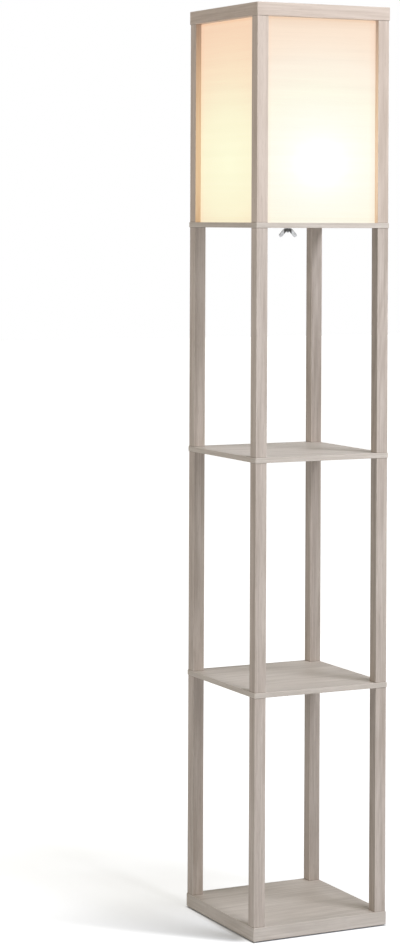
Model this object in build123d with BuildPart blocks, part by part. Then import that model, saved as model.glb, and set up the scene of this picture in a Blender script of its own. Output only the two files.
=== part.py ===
from build123d import *
import os
from math import asin, cos, degrees, radians, sin

# Shelf floor lamp: a square stand of stacked posts and boards with a lit box at the top.
# Millimetres. The origin is the centre of the footprint at floor level, +Z is up and the
# front is -Y. Screw threads are drawn as plain cylinders.

# ------------------------------------------------------------------ the stand
board_side = 260.0       # outer width and depth of the base, the shelves and the top frame
edge_ease = 0.5          # bevel that breaks the long edges of boards, posts and rails
base_thick = 23.0
shelf_thick = 9.0        # low shelf, middle shelf and lamp board
bay_height = 391.0       # clear height of each of the three open bays
lamp_bay_height = 352.0  # clear height of the light box
rail_high = 23.0         # height of the top frame
post_side = 21.0         # square section of every post
post_inset = 1.0         # how far the boards stand proud of the posts

pad_radius = 11.0        # foot pads
pad_thick = 2.0
pad_inset = 42.0         # from the base board's edges to a pad's centre

# --------------------------------------------------- 6 mm screws of the stand
screw_radius = 3.0
hole_gap = 0.3           # round a screw in its hole in a board
thread_gap = 0.05        # round a plain-drawn thread in its insert
screw_grip = 14.0        # length of thread in an insert
insert_wall = 1.5
insert_long = 15.0
insert_recess = 0.3      # an insert's end lies this far inside the post's end
bore_past = 2.5          # how far a post's bore goes on past its insert
head_radius = 5.0        # socket head
head_high = 6.0
head_gap = 0.5           # round a head or a washer in its counterbore
socket_flats = 5.0       # hexagon socket in the head, across flats
socket_deep = 3.0
washer_radius = 6.0
washer_thick = 1.6
base_sink = 11.0         # from the base's underside up to its washers' seat
top_sink = 14.0          # from the top frame's upper face down to its screws' seat
cap_thick = 3.0          # cover caps over the top frame's screws
cap_fit = 0.05           # round a cover cap

key_thick = 2.5          # hardwood keys across the top frame's mitres
key_wide = 6.0
key_high = 8.0
key_wall = 1.0           # wood left between a key and the screw's counterbore
key_fit = 0.05           # round a key in its slot

# ---------------------------------------------------------- the shade panels
panel_set_back = 11.0    # from the posts' outer faces to the fabric's outer face
fabric_thick = 0.4
liner_thick = 0.8
groove_deep = 4.0
groove_gap = 0.2         # each side of a panel in its groove
panel_edge_gap = 0.3     # between a panel's edge and the bottom of its groove
panel_top_gap = 0.5      # between a panel's top edge and the top frame

# ------------------------------------------------------------- the lampholder
fit_gap = 0.2            # between moulded pieces that screw or slide together
floor_thick = 5.0        # floor of the foot, over the lamp board
foot_thick = 2.5
foot_flange = 7.5        # the foot's rim outside its hub
foot_ease = 1.0
hub_high = 18.0
spigot_high = 8.0        # the foot's spigot inside the barrel, up to the core's seat
spigot_wall = 2.0
barrel_wall = 3.0
mouth_deep = 4.0         # from the screw shell's top up to the barrel's mouth
mouth_clear = 1.5        # round the bulb's cap at the mouth
mouth_ease = 1.2
core_high = 12.0         # ceramic core
core_rim = 1.6           # ceramic outside the screw shell
shell_wall = 0.4         # brass screw shell
shell_high = 19.0
shell_flange = 3.0       # turned in under the bulb
contact_rise = 4.0       # top of the centre contact over the core
contact_strip = 0.6      # thickness of its spring strip
contact_wide = 5.0
contact_foot = 5.0       # length of its foot, left of the axis
contact_clear = 1.7      # from its foot to the screw shell's turned-in foot
contact_slope = 3.5      # how far the strip slopes up from its foot
contact_reach = 3.5      # its tongue, right of the axis
terminal_radius = 1.5    # terminal screws
terminal_gap = 0.1
terminal_head = 2.8
terminal_head_high = 2.0
terminal_long = 7.0
terminal_offset = 8.0    # from the lampholder's axis
wire_hole_radius = 2.0

entry_bore = 3.6         # radius of the cord entry
entry_wall = 2.6
entry_rise = 11.0        # its axis over the lamp board
entry_past = 7.5         # from the hub's wall out to its mouth
clamp_radius = 1.5       # cord clamp screw
clamp_head = 2.75
clamp_head_high = 1.8
clamp_set = 3.8          # from the mouth of the entry back to the clamp screw
cord_hole_radius = 4.0   # in the lamp board
cord_hole_back = 60.0    # behind the lampholder's axis

# ------------------------------------------------- bolt, washer and wing nut
bolt_head_flats = 10.0
bolt_head_high = 4.0
bolt_head_sink = 2.5     # how deep the head sits in the foot's floor
bolt_head_gap = 0.15
bolt_past = 2.1          # how far the bolt comes out below the wing nut's hub
clamp_gap = 0.2          # board to washer, and washer to nut
nut_bore_gap = 0.2
clamp_washer_thick = 1.0
clamp_washer_radius = 6.25
nut_hub_top = 6.1        # radius beside the washer
nut_hub_bottom = 5.3
nut_hub_high = 5.0
wing_root = (5.6, 3.6)   # centre of a wing's inner end: out from the axis, down from the top
wing_tip = (12.4, 11.9)  # centre of its outer end
wing_wide = 6.6
wing_thick = 2.4
wing_ease = 0.7
wing_turn = -28.0        # how the wings point at rest, about +Z

# ------------------------------------------------------------------- the bulb
cap_radius = 12.95       # screw cap, over its thread
turning_gap = 0.35       # between cap and screw shell
cap_wall = 0.5
cap_edge = 1.6           # rolled lower edge of the cap
tip_gap = 0.3            # over the centre contact, and under the insulator
tip_radius = 4.5
tip_high = 1.4
tip_ease = 0.6
insulator_high = 4.5
insulator_foot = 5.2     # radius of its lower face
collar_gap = 3.0         # from the barrel's mouth up to the collar
collar_step = 0.65       # collar's foot outside the cap
collar_high = 40.0
collar_wall = 1.5
neck_long = 8.0          # collar's neck inside the cap
bulb_radius = 30.0
globe_wall = 1.2
seam_angle = 28.0        # the globe's lower edge, below its equator
rim_step = 1.0           # collar's rim outside the globe's edge
rim_wall = 1.6
board_seat = 2.0         # depth and width of the LED board's seat in the rim
led_board_thick = 1.6
led_board_gap = 0.2
chip_side = 3.0
chip_high = 0.8
chip_circle = 16.0
chip_count = 12
driver_thick = 1.6
driver_high = 38.0
driver_gap = 0.4
capacitor_radius = 4.0
capacitor_high = 8.0
capacitor_rise = 12.0    # its axis over the collar's foot

# --------------------------------------------------- levels, from the floor up
base_top = pad_thick + base_thick
low_shelf_bottom = base_top + bay_height
low_shelf_top = low_shelf_bottom + shelf_thick
mid_shelf_bottom = low_shelf_top + bay_height
mid_shelf_top = mid_shelf_bottom + shelf_thick
lamp_board_bottom = mid_shelf_top + bay_height
lamp_board_top = lamp_board_bottom + shelf_thick
rail_bottom = lamp_board_top + lamp_bay_height
rail_top = rail_bottom + rail_high

# ------------------------------------------------------------- places in plan
post_outer = board_side / 2 - post_inset
post_centre = post_outer - post_side / 2
post_inner = post_outer - post_side
pad_centre = board_side / 2 - pad_inset
hole_radius = screw_radius + hole_gap
insert_bore = screw_radius + thread_gap
insert_radius = insert_bore + insert_wall
cap_hole = head_radius + head_gap
key_centre = post_centre - (cap_hole + key_wall + key_thick / 2) * cos(radians(45))

fabric_outer = post_outer - panel_set_back
liner_outer = fabric_outer - fabric_thick
liner_inner = liner_outer - liner_thick
groove_wide = fabric_thick + liner_thick + 2 * groove_gap
groove_line = (fabric_outer + liner_inner) / 2
panel_wide = 2 * (post_inner + groove_deep - panel_edge_gap)
panel_high = lamp_bay_height - panel_top_gap

corners = {
    "front_left": (-1, -1),
    "front_right": (1, -1),
    "back_left": (-1, 1),
    "back_right": (1, 1),
}
sides = {"front": 0, "right": 90, "back": 180, "left": 270}
open_tiers = {"low": base_top, "mid": low_shelf_top, "high": mid_shelf_top}

# --------------------------------------------- lampholder, from the inside out
shell_inner = cap_radius + turning_gap
shell_outer = shell_inner + shell_wall
shell_seat = shell_outer + fit_gap
core_radius = shell_outer + core_rim
barrel_bore = core_radius + fit_gap
barrel_radius = barrel_bore + barrel_wall
spigot_radius = barrel_bore - fit_gap
cavity_radius = spigot_radius - spigot_wall
foot_radius = barrel_radius + foot_flange
mouth_radius = cap_radius + mouth_clear
entry_outer = entry_bore + entry_wall
entry_reach = barrel_radius + entry_past
clamp_place = entry_reach - clamp_set

# heights over the lamp board
bolt_seat = floor_thick - bolt_head_sink
core_bottom = hub_high + spigot_high
core_top = core_bottom + core_high
shell_top = core_top + shell_high
barrel_top = shell_top + mouth_deep
contact_top = core_top + contact_rise
tip_bottom = contact_top + tip_gap
tip_top = tip_bottom + tip_high
insulator_bottom = tip_top + tip_gap
insulator_top = insulator_bottom + insulator_high
cap_bottom = insulator_top - fit_gap
collar_bottom = barrel_top + collar_gap
collar_top = collar_bottom + collar_high
neck_bottom = collar_bottom - neck_long

# the bulb's radii, and the centre of its globe
collar_root = cap_radius + collar_step
neck_outer = cap_radius - cap_wall - fit_gap / 2
neck_inner = neck_outer - collar_wall
globe_edge = bulb_radius * cos(radians(seam_angle))
globe_rise = bulb_radius * sin(radians(seam_angle))
globe_centre = collar_top + globe_rise
collar_rim = globe_edge + rim_step
rim_inner = collar_rim - rim_wall
seat_inner = rim_inner - board_seat
seat_level = collar_top - board_seat

# below the lamp board, still measured from its upper face
washer_top = -shelf_thick - clamp_gap
washer_bottom = washer_top - clamp_washer_thick
nut_top = washer_bottom - clamp_gap
nut_bottom = nut_top - nut_hub_high
bolt_end = nut_bottom - bolt_past

# upright section through the lampholder's axis, its origin on the lamp board
lamp_section = Plane(origin=(0, 0, lamp_board_top), x_dir=(1, 0, 0), z_dir=(0, -1, 0))


def keep(piece, name):
    """Label a finished piece and write it to its own file."""
    piece.part.label = name
    export_step(piece.part, f"parts/{name}.step")


def at_lamp(height):
    """A level plane at a height over the lamp board."""
    return Plane.XY.offset(lamp_board_top + height)


def on_posts(level, outer, inner=0.0):
    """Discs, or rings, on the four posts' axes."""
    with BuildSketch(Plane.XY.offset(level)) as discs:
        with GridLocations(2 * post_centre, 2 * post_centre, 2, 2):
            Circle(outer)
            if inner > 0:
                Circle(inner, mode=Mode.SUBTRACT)
    return discs.sketch


def lamp_disc(height, outer, inner=0.0):
    """A disc, or a ring, on the lampholder's axis."""
    with BuildSketch(at_lamp(height)) as disc:
        Circle(outer)
        if inner > 0:
            Circle(inner, mode=Mode.SUBTRACT)
    return disc.sketch


def lamp_outline(points):
    """A closed outline of (radius, height) points in the lampholder's section."""
    with BuildSketch(lamp_section) as outline:
        with BuildLine():
            Polyline(points, close=True)
        make_face()
    return outline.sketch


# ------------------------------------------------------------ base and shelves
def make_base_board():
    with BuildPart() as base_board:
        with BuildSketch(Plane.XY.offset(pad_thick)):
            Rectangle(board_side, board_side)
        extrude(amount=base_thick)
        chamfer(base_board.edges(), edge_ease)
        with Locations(base_board.faces().sort_by(Axis.Z)[0]):
            with GridLocations(2 * post_centre, 2 * post_centre, 2, 2):
                CounterBoreHole(hole_radius, washer_radius + head_gap, base_sink)
    keep(base_board, "base_board")


def make_foot_pads():
    with BuildPart() as foot_pads:
        with BuildSketch():
            with GridLocations(2 * pad_centre, 2 * pad_centre, 2, 2):
                Circle(pad_radius)
        extrude(amount=pad_thick)
        lower_faces = foot_pads.faces().filter_by(Plane.XY).group_by(Axis.Z)[0]
        chamfer(lower_faces.edges(), edge_ease)
    keep(foot_pads, "foot_pads")


def make_shelf(name, bottom):
    """A plain shelf board with a hole over each post."""
    with BuildPart() as shelf:
        with BuildSketch(Plane.XY.offset(bottom)):
            Rectangle(board_side, board_side)
        extrude(amount=shelf_thick)
        chamfer(shelf.edges(), edge_ease)
        with Locations(shelf.faces().sort_by(Axis.Z)[-1]):
            with GridLocations(2 * post_centre, 2 * post_centre, 2, 2):
                Hole(hole_radius)
            if name == "lamp_board":
                Hole(hole_radius)
                with Locations((0, cord_hole_back)):
                    Hole(cord_hole_radius)
    keep(shelf, name)


# ------------------------------------------------------------------ the posts
def make_post(name, corner, bottom, height, grooved):
    """A square post bored at both ends, with two grooves for shade panels if it has any."""
    side_x, side_y = corners[corner]
    with BuildPart() as post:
        with BuildSketch(Plane.XY.offset(bottom)):
            with Locations((side_x * post_centre, side_y * post_centre)):
                Rectangle(post_side, post_side)
        extrude(amount=height)
        chamfer(post.edges().filter_by(Axis.Z), edge_ease)
        if grooved:
            with BuildSketch(Plane.XY.offset(bottom)):
                with Locations((side_x * post_inner, side_y * groove_line)):
                    Rectangle(2 * groove_deep, groove_wide)
                with Locations((side_x * groove_line, side_y * post_inner)):
                    Rectangle(groove_wide, 2 * groove_deep)
            extrude(amount=height, mode=Mode.SUBTRACT)
        ends = Plane.XY.offset(bottom + height), -Plane.XY.offset(bottom)
        for end in ends:
            with Locations(end):
                with Locations((side_x * post_centre, side_y * post_centre * end.z_dir.Z)):
                    Hole(insert_radius, insert_recess + insert_long + bore_past)
    keep(post, name)


def make_post_inserts():
    """Threaded sleeves in both ends of every post."""
    with BuildPart() as post_inserts:
        for bottom, height in list_tiers():
            for start, way in ((bottom, 1), (bottom + height, -1)):
                sleeves = on_posts(start + way * insert_recess, insert_radius, insert_bore)
                extrude(sleeves, amount=way * insert_long)
    keep(post_inserts, "post_inserts")


def make_shelf_studs():
    """Double ended studs, four through each of the three thin boards."""
    with BuildPart() as shelf_studs:
        for level in (low_shelf_bottom, mid_shelf_bottom, lamp_board_bottom):
            discs = on_posts(level - screw_grip, screw_radius)
            extrude(discs, amount=shelf_thick + 2 * screw_grip)
    keep(shelf_studs, "shelf_studs")


def list_tiers():
    """The lower level and the height of each tier of posts."""
    return [(level, bay_height) for level in open_tiers.values()] + [
        (lamp_board_top, lamp_bay_height)
    ]


def make_socket_screws(name, seat, tip):
    """Four socket head screws on the posts' axes: heads on a seat, tips at a level."""
    way = 1 if tip > seat else -1
    with BuildPart() as screws:
        extrude(on_posts(seat, head_radius), amount=-way * head_high)
        extrude(on_posts(seat, screw_radius), amount=tip - seat)
        with BuildSketch(Plane.XY.offset(seat - way * head_high)):
            with GridLocations(2 * post_centre, 2 * post_centre, 2, 2):
                RegularPolygon(socket_flats / 2, 6, major_radius=False)
        extrude(amount=way * socket_deep, mode=Mode.SUBTRACT)
    keep(screws, name)


def make_base_washers():
    seat = pad_thick + base_sink
    with BuildPart() as base_washers:
        extrude(on_posts(seat, washer_radius, hole_radius), amount=-washer_thick)
    keep(base_washers, "base_washers")


# -------------------------------------------------------------- the top frame
def make_top_rail(side):
    """One mitred rail, bored on the mitres for the screws and slotted for the keys."""
    half = board_side / 2
    inner = post_inner
    blunt = half - edge_ease
    mitre = half - edge_ease / 2
    rail_axis = Axis((0, 0, 0), (cos(radians(sides[side])), sin(radians(sides[side])), 0))
    with BuildPart() as rail:
        with BuildSketch(Plane.XY.offset(rail_bottom).rotated((0, 0, sides[side]))):
            with BuildLine():
                Polyline(
                    (-blunt, -half),
                    (blunt, -half),
                    (mitre, -mitre),
                    (inner, -inner),
                    (-inner, -inner),
                    (-mitre, -mitre),
                    close=True,
                )
            make_face()
        extrude(amount=rail_high)
        chamfer(rail.edges().filter_by(rail_axis), edge_ease)
        with Locations(Plane.XY.offset(rail_top)):
            with GridLocations(2 * post_centre, 2 * post_centre, 2, 2):
                CounterBoreHole(hole_radius, cap_hole, top_sink)
        extrude(key_sketch(key_fit), amount=key_high + key_fit, mode=Mode.SUBTRACT)
    keep(rail, f"top_rail_{side}")


def key_sketch(gap):
    """The four keys in plan, each square to its mitre, with a gap round them."""
    with BuildSketch(Plane.XY.offset(rail_bottom)) as keys:
        for side_x, side_y in corners.values():
            with Locations((side_x * key_centre, side_y * key_centre)):
                Rectangle(
                    key_thick + 2 * gap,
                    key_wide + 2 * gap,
                    rotation=45 * side_x * side_y,
                )
    return keys.sketch


def make_corner_keys():
    with BuildPart() as corner_keys:
        extrude(key_sketch(0), amount=key_high)
    keep(corner_keys, "corner_keys")


def make_top_caps():
    """Cover caps over the top frame's screws."""
    with BuildPart() as top_screw_caps:
        extrude(on_posts(rail_top, cap_hole - cap_fit), amount=-cap_thick)
        upper_faces = top_screw_caps.faces().filter_by(Plane.XY).group_by(Axis.Z)[-1]
        chamfer(upper_faces.edges(), edge_ease)
    keep(top_screw_caps, "top_screw_caps")


# ----------------------------------------------------------- the shade panels
def make_panel(name, side, outer, thick):
    """A flat sheet standing on the lamp board, its side edges in the posts' grooves."""
    with BuildPart() as panel:
        with BuildSketch(at_lamp(0).rotated((0, 0, sides[side]))):
            with Locations((0, thick / 2 - outer)):
                Rectangle(panel_wide, thick)
        extrude(amount=panel_high)
    keep(panel, name)


# ------------------------------------------------------------- the lampholder
def make_holder_base():
    """Round foot with a hollow hub, a spigot for the barrel and a cord entry at the back."""
    entry_plane = Plane(
        origin=(0, 0, lamp_board_top + entry_rise), x_dir=(1, 0, 0), z_dir=(0, 1, 0)
    )
    with BuildPart() as holder_base:
        extrude(lamp_disc(0, foot_radius), amount=foot_thick)
        chamfer(holder_base.edges().sort_by(Axis.Z)[-1], foot_ease)
        extrude(lamp_disc(foot_thick, barrel_radius), amount=hub_high - foot_thick)
        extrude(lamp_disc(hub_high, spigot_radius), amount=spigot_high)
        with BuildSketch(entry_plane):
            Circle(entry_outer)
        extrude(amount=entry_reach)
        extrude(
            lamp_disc(floor_thick, cavity_radius),
            amount=core_bottom - floor_thick,
            mode=Mode.SUBTRACT,
        )
        with BuildSketch(entry_plane):
            Circle(entry_bore)
        extrude(amount=entry_reach, mode=Mode.SUBTRACT)
        with BuildSketch(at_lamp(entry_rise)):
            with Locations((0, clamp_place)):
                Circle(clamp_radius + terminal_gap)
        extrude(amount=entry_outer, mode=Mode.SUBTRACT)
        with BuildSketch(at_lamp(bolt_seat)):
            RegularPolygon(bolt_head_flats / 2 + bolt_head_gap, 6, major_radius=False)
        extrude(amount=bolt_head_sink, mode=Mode.SUBTRACT)
        extrude(lamp_disc(0, hole_radius), amount=bolt_seat, mode=Mode.SUBTRACT)
    keep(holder_base, "holder_base")


def make_cord_clamp_screw():
    crown = entry_rise + entry_bore
    with BuildPart() as cord_clamp_screw:
        with BuildSketch(at_lamp(crown)):
            with Locations((0, clamp_place)):
                Circle(clamp_radius)
        extrude(amount=entry_wall)
        with BuildSketch(at_lamp(crown + entry_wall)):
            with Locations((0, clamp_place)):
                Circle(clamp_head)
                Rectangle(2 * clamp_head, contact_strip, mode=Mode.SUBTRACT)
        extrude(amount=clamp_head_high)
        with BuildSketch(at_lamp(crown + entry_wall)):
            with Locations((0, clamp_place)):
                Circle(clamp_head)
        extrude(amount=clamp_head_high / 2)
    keep(cord_clamp_screw, "cord_clamp_screw")


def make_holder_body():
    """Barrel that screws over the foot's spigot and holds the core against its shoulder."""
    outline = lamp_outline(
        [
            (barrel_bore, hub_high),
            (barrel_radius, hub_high),
            (barrel_radius, barrel_top - mouth_ease),
            (barrel_radius - mouth_ease, barrel_top),
            (mouth_radius, barrel_top),
            (mouth_radius, shell_top),
            (shell_seat, shell_top),
            (shell_seat, core_top),
            (barrel_bore, core_top),
        ]
    )
    with BuildPart() as holder_body:
        revolve(outline, axis=Axis.Z)
    keep(holder_body, "holder_body")


def make_holder_core():
    """Ceramic disc with holes for the terminal screws and the wires."""
    with BuildPart() as holder_core:
        extrude(lamp_disc(core_bottom, core_radius), amount=core_high)
        with BuildSketch(at_lamp(core_bottom)):
            with GridLocations(2 * terminal_offset, 0, 2, 1):
                Circle(terminal_radius + terminal_gap)
        extrude(amount=terminal_long, mode=Mode.SUBTRACT)
        with BuildSketch(at_lamp(core_bottom)):
            with GridLocations(0, 2 * terminal_offset, 1, 2):
                Circle(wire_hole_radius)
        extrude(amount=core_high, mode=Mode.SUBTRACT)
    keep(holder_core, "holder_core")


def make_terminal_screws():
    with BuildPart() as terminal_screws:
        with BuildSketch(at_lamp(core_bottom)):
            with GridLocations(2 * terminal_offset, 0, 2, 1):
                Circle(terminal_head)
        extrude(amount=-terminal_head_high)
        with BuildSketch(at_lamp(core_bottom)):
            with GridLocations(2 * terminal_offset, 0, 2, 1):
                Circle(terminal_radius)
        extrude(amount=terminal_long)
    keep(terminal_screws, "terminal_screws")


def make_screw_shell():
    """Brass sleeve with a turned-in foot that stands on the core."""
    outline = lamp_outline(
        [
            (shell_outer - shell_flange, core_top),
            (shell_outer, core_top),
            (shell_outer, shell_top),
            (shell_inner, shell_top),
            (shell_inner, core_top + shell_wall),
            (shell_outer - shell_flange, core_top + shell_wall),
        ]
    )
    with BuildPart() as screw_shell:
        revolve(outline, axis=Axis.Z)
    keep(screw_shell, "screw_shell")


def make_centre_contact():
    """Spring strip that rises from its foot on the core to a tongue under the bulb's tip."""
    foot_end = shell_outer - shell_flange - contact_clear
    foot_start = foot_end - contact_foot
    strip_top = core_top + contact_strip
    tongue = contact_slope - foot_start
    outline = lamp_outline(
        [
            (-foot_end, core_top),
            (-foot_start, core_top),
            (tongue, contact_top - contact_strip),
            (contact_reach, contact_top - contact_strip),
            (contact_reach, contact_top),
            (tongue - contact_strip / 2, contact_top),
            (-foot_start - contact_strip / 2, strip_top),
            (-foot_end, strip_top),
        ]
    )
    with BuildPart() as centre_contact:
        extrude(outline, amount=contact_wide / 2, both=True)
    keep(centre_contact, "centre_contact")


# ------------------------------------------------- bolt, washer and wing nut
def make_holder_bolt():
    """Bolt from the foot's floor down through the lamp board."""
    with BuildPart() as holder_bolt:
        with BuildSketch(at_lamp(bolt_seat)):
            RegularPolygon(bolt_head_flats / 2, 6, major_radius=False)
        extrude(amount=bolt_head_high)
        extrude(lamp_disc(bolt_end, screw_radius), amount=bolt_seat - bolt_end)
    keep(holder_bolt, "holder_bolt")


def make_clamp_washer():
    with BuildPart() as clamp_washer:
        ring = lamp_disc(washer_bottom, clamp_washer_radius, screw_radius + nut_bore_gap)
        extrude(ring, amount=clamp_washer_thick)
    keep(clamp_washer, "clamp_washer")


def make_wing_nut():
    """Tapered hub with two rounded wings that slope down and out."""
    run = wing_tip[0] - wing_root[0]
    fall = wing_tip[1] - wing_root[1]
    wing_slope = degrees(asin(fall / Vector(run, fall).length))
    middle = ((wing_root[0] + wing_tip[0]) / 2, -(wing_root[1] + wing_tip[1]) / 2)
    turn = radians(wing_turn)
    wing_plane = Plane(
        origin=(0, 0, lamp_board_top + nut_top),
        x_dir=(cos(turn), sin(turn), 0),
        z_dir=(sin(turn), -cos(turn), 0),
    )
    with BuildPart() as wing_nut:
        with BuildSketch(wing_plane):
            for way in (1, -1):
                with Locations((way * middle[0], middle[1])):
                    SlotCenterToCenter(
                        Vector(run, fall).length, wing_wide, rotation=-way * wing_slope
                    )
        extrude(amount=wing_thick / 2, both=True)
        chamfer(wing_nut.faces().sort_by(SortBy.AREA)[-4:].edges(), wing_ease)
        hub = lamp_outline(
            [
                (0, nut_top),
                (nut_hub_top, nut_top),
                (nut_hub_bottom, nut_bottom),
                (0, nut_bottom),
            ]
        )
        revolve(hub, axis=Axis.Z)
        bore = lamp_disc(nut_top, screw_radius + nut_bore_gap)
        extrude(bore, amount=nut_hub_high + wing_tip[1], dir=(0, 0, -1), mode=Mode.SUBTRACT)
    keep(wing_nut, "wing_nut")


# ------------------------------------------------------------------- the bulb
def make_bulb_contact():
    outline = lamp_outline(
        [
            (0, tip_bottom),
            (tip_radius - tip_ease, tip_bottom),
            (tip_radius, tip_bottom + tip_ease),
            (tip_radius, tip_top),
            (0, tip_top),
        ]
    )
    with BuildPart() as bulb_contact:
        revolve(outline, axis=Axis.Z)
    keep(bulb_contact, "bulb_contact")


def make_bulb_insulator():
    """Glass cone between the tip contact and the screw cap."""
    outline = lamp_outline(
        [
            (0, insulator_bottom),
            (insulator_foot, insulator_bottom),
            (cap_radius - cap_edge - fit_gap / 2, insulator_top),
            (0, insulator_top),
        ]
    )
    with BuildPart() as bulb_insulator:
        revolve(outline, axis=Axis.Z)
    keep(bulb_insulator, "bulb_insulator")


def make_bulb_cap():
    """Thin screw cap with a rolled lower edge."""
    edge_centre = (cap_radius - cap_edge, cap_bottom + cap_edge)
    with BuildPart() as bulb_cap:
        with BuildSketch(lamp_section):
            with BuildLine():
                outer = CenterArc(edge_centre, cap_edge, -90, 90)
                inner = CenterArc(edge_centre, cap_edge - cap_wall, -90, 90)
                Line(outer @ 0, inner @ 0)
                Polyline(
                    outer @ 1,
                    (cap_radius, collar_bottom),
                    (cap_radius - cap_wall, collar_bottom),
                    inner @ 1,
                )
            make_face()
        revolve(axis=Axis.Z)
    keep(bulb_cap, "bulb_cap")


def make_bulb_collar():
    """Flared collar with a neck inside the cap and a seat for the LED board in its rim."""
    seam = radians(seam_angle)
    with BuildPart() as bulb_collar:
        with BuildSketch(lamp_section):
            with BuildLine():
                flare = Spline(
                    (collar_root, collar_bottom),
                    (collar_rim, collar_top),
                    tangents=[(0, 1), (sin(seam), cos(seam))],
                )
                Polyline(
                    flare @ 1,
                    (rim_inner, collar_top),
                    (rim_inner, seat_level),
                    (seat_inner, seat_level),
                )
                Spline(
                    (seat_inner, seat_level),
                    (neck_inner, collar_bottom),
                    tangents=[(-sin(seam), -cos(seam)), (0, -1)],
                )
                Polyline(
                    (neck_inner, collar_bottom),
                    (neck_inner, neck_bottom),
                    (neck_outer, neck_bottom),
                    (neck_outer, collar_bottom),
                    flare @ 0,
                )
            make_face()
        revolve(axis=Axis.Z)
    keep(bulb_collar, "bulb_collar")


def make_bulb_globe():
    """Opal shell, a little more than half a ball, open at its seam with the collar."""
    inner_radius = bulb_radius - globe_wall
    inner_angle = degrees(asin(globe_rise / inner_radius))
    centre = (0, globe_centre)
    with BuildPart() as bulb_globe:
        with BuildSketch(lamp_section):
            with BuildLine():
                outer = CenterArc(centre, bulb_radius, -seam_angle, 90 + seam_angle)
                inner = CenterArc(centre, inner_radius, -inner_angle, 90 + inner_angle)
                Line(outer @ 0, inner @ 0)
                Line(outer @ 1, inner @ 1)
            make_face()
        revolve(axis=Axis.Z)
    keep(bulb_globe, "bulb_globe")


def make_bulb_boards():
    """LED board with its ring of chips, and the driver board in the collar."""
    board_radius = rim_inner - led_board_gap
    with BuildPart() as led_board:
        extrude(lamp_disc(seat_level, board_radius), amount=led_board_thick)
    keep(led_board, "bulb_led_board")

    with BuildPart() as led_chips:
        with BuildSketch(at_lamp(seat_level + led_board_thick)):
            with PolarLocations(chip_circle, chip_count):
                Rectangle(chip_side, chip_side)
        extrude(amount=chip_high)
    keep(led_chips, "bulb_led_chips")

    with BuildPart() as driver_board:
        with BuildSketch(at_lamp(neck_bottom)):
            Rectangle(2 * (neck_inner - driver_gap), driver_thick)
        extrude(amount=driver_high)
        with BuildSketch(Plane.XZ.offset(-driver_thick / 2)):
            with Locations((0, lamp_board_top + collar_bottom + capacitor_rise)):
                Circle(capacitor_radius)
        extrude(amount=-capacitor_high)
    keep(driver_board, "bulb_driver_board")


def main():
    os.makedirs("parts", exist_ok=True)
    make_base_board()
    make_foot_pads()
    base_seat = pad_thick + base_sink
    make_base_washers()
    make_socket_screws("base_bolts", base_seat - washer_thick, base_top + screw_grip)
    make_shelf("low_shelf", low_shelf_bottom)
    make_shelf("mid_shelf", mid_shelf_bottom)
    make_shelf("lamp_board", lamp_board_bottom)
    for corner in corners:
        for tier, bottom in open_tiers.items():
            make_post(f"{tier}_post_{corner}", corner, bottom, bay_height, False)
        make_post(f"lamp_post_{corner}", corner, lamp_board_top, lamp_bay_height, True)
    make_post_inserts()
    make_shelf_studs()
    for side in sides:
        make_top_rail(side)
        make_panel(f"shade_{side}", side, fabric_outer, fabric_thick)
        make_panel(f"liner_{side}", side, liner_outer, liner_thick)
    make_corner_keys()
    make_socket_screws("top_frame_screws", rail_top - top_sink, rail_bottom - screw_grip)
    make_top_caps()
    make_holder_base()
    make_cord_clamp_screw()
    make_holder_body()
    make_holder_core()
    make_terminal_screws()
    make_screw_shell()
    make_centre_contact()
    make_holder_bolt()
    make_clamp_washer()
    make_wing_nut()
    make_bulb_contact()
    make_bulb_insulator()
    make_bulb_cap()
    make_bulb_collar()
    make_bulb_globe()
    make_bulb_boards()


main()
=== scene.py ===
"""Looks of a shelf floor lamp: a square stand of posts and boards under a lit fabric box.

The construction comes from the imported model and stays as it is. This script gives every
piece its finish, and models the pieces that need more form than the construction holds.
Everything is in metres, in the model's own frame: +Z is up and the front is -Y.
"""

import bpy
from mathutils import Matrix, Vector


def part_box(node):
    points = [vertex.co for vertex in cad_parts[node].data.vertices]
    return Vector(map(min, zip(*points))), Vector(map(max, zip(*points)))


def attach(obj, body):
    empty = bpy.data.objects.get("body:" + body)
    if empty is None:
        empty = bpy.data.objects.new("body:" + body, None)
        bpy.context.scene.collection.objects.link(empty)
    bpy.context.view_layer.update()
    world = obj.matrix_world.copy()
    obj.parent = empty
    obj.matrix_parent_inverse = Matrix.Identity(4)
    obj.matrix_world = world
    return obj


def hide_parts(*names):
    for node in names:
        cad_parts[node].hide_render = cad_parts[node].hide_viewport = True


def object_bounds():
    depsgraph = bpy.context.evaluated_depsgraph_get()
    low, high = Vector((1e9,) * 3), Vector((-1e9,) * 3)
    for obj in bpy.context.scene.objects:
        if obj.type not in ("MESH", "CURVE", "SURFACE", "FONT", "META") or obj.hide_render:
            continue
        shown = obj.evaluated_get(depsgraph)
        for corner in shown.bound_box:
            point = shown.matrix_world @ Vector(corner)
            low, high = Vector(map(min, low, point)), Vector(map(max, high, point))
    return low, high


bl_info = {
    "name": "Shelf Floor Lamp",
    "version": (1, 0, 0),
    "blender": (4, 5, 0),
    "location": "View3D > Sidebar > Lamp",
    "description": "Gives the shelf floor lamp its finishes and sets it on a plain stage",
    "category": "Object",
}

from math import atan2, cos, pi, radians, sin

import bmesh
import bpy
from bpy.props import FloatProperty, FloatVectorProperty, IntProperty, PointerProperty
from bpy.types import Operator, Panel, PropertyGroup
from mathutils import Matrix, Vector

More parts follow.
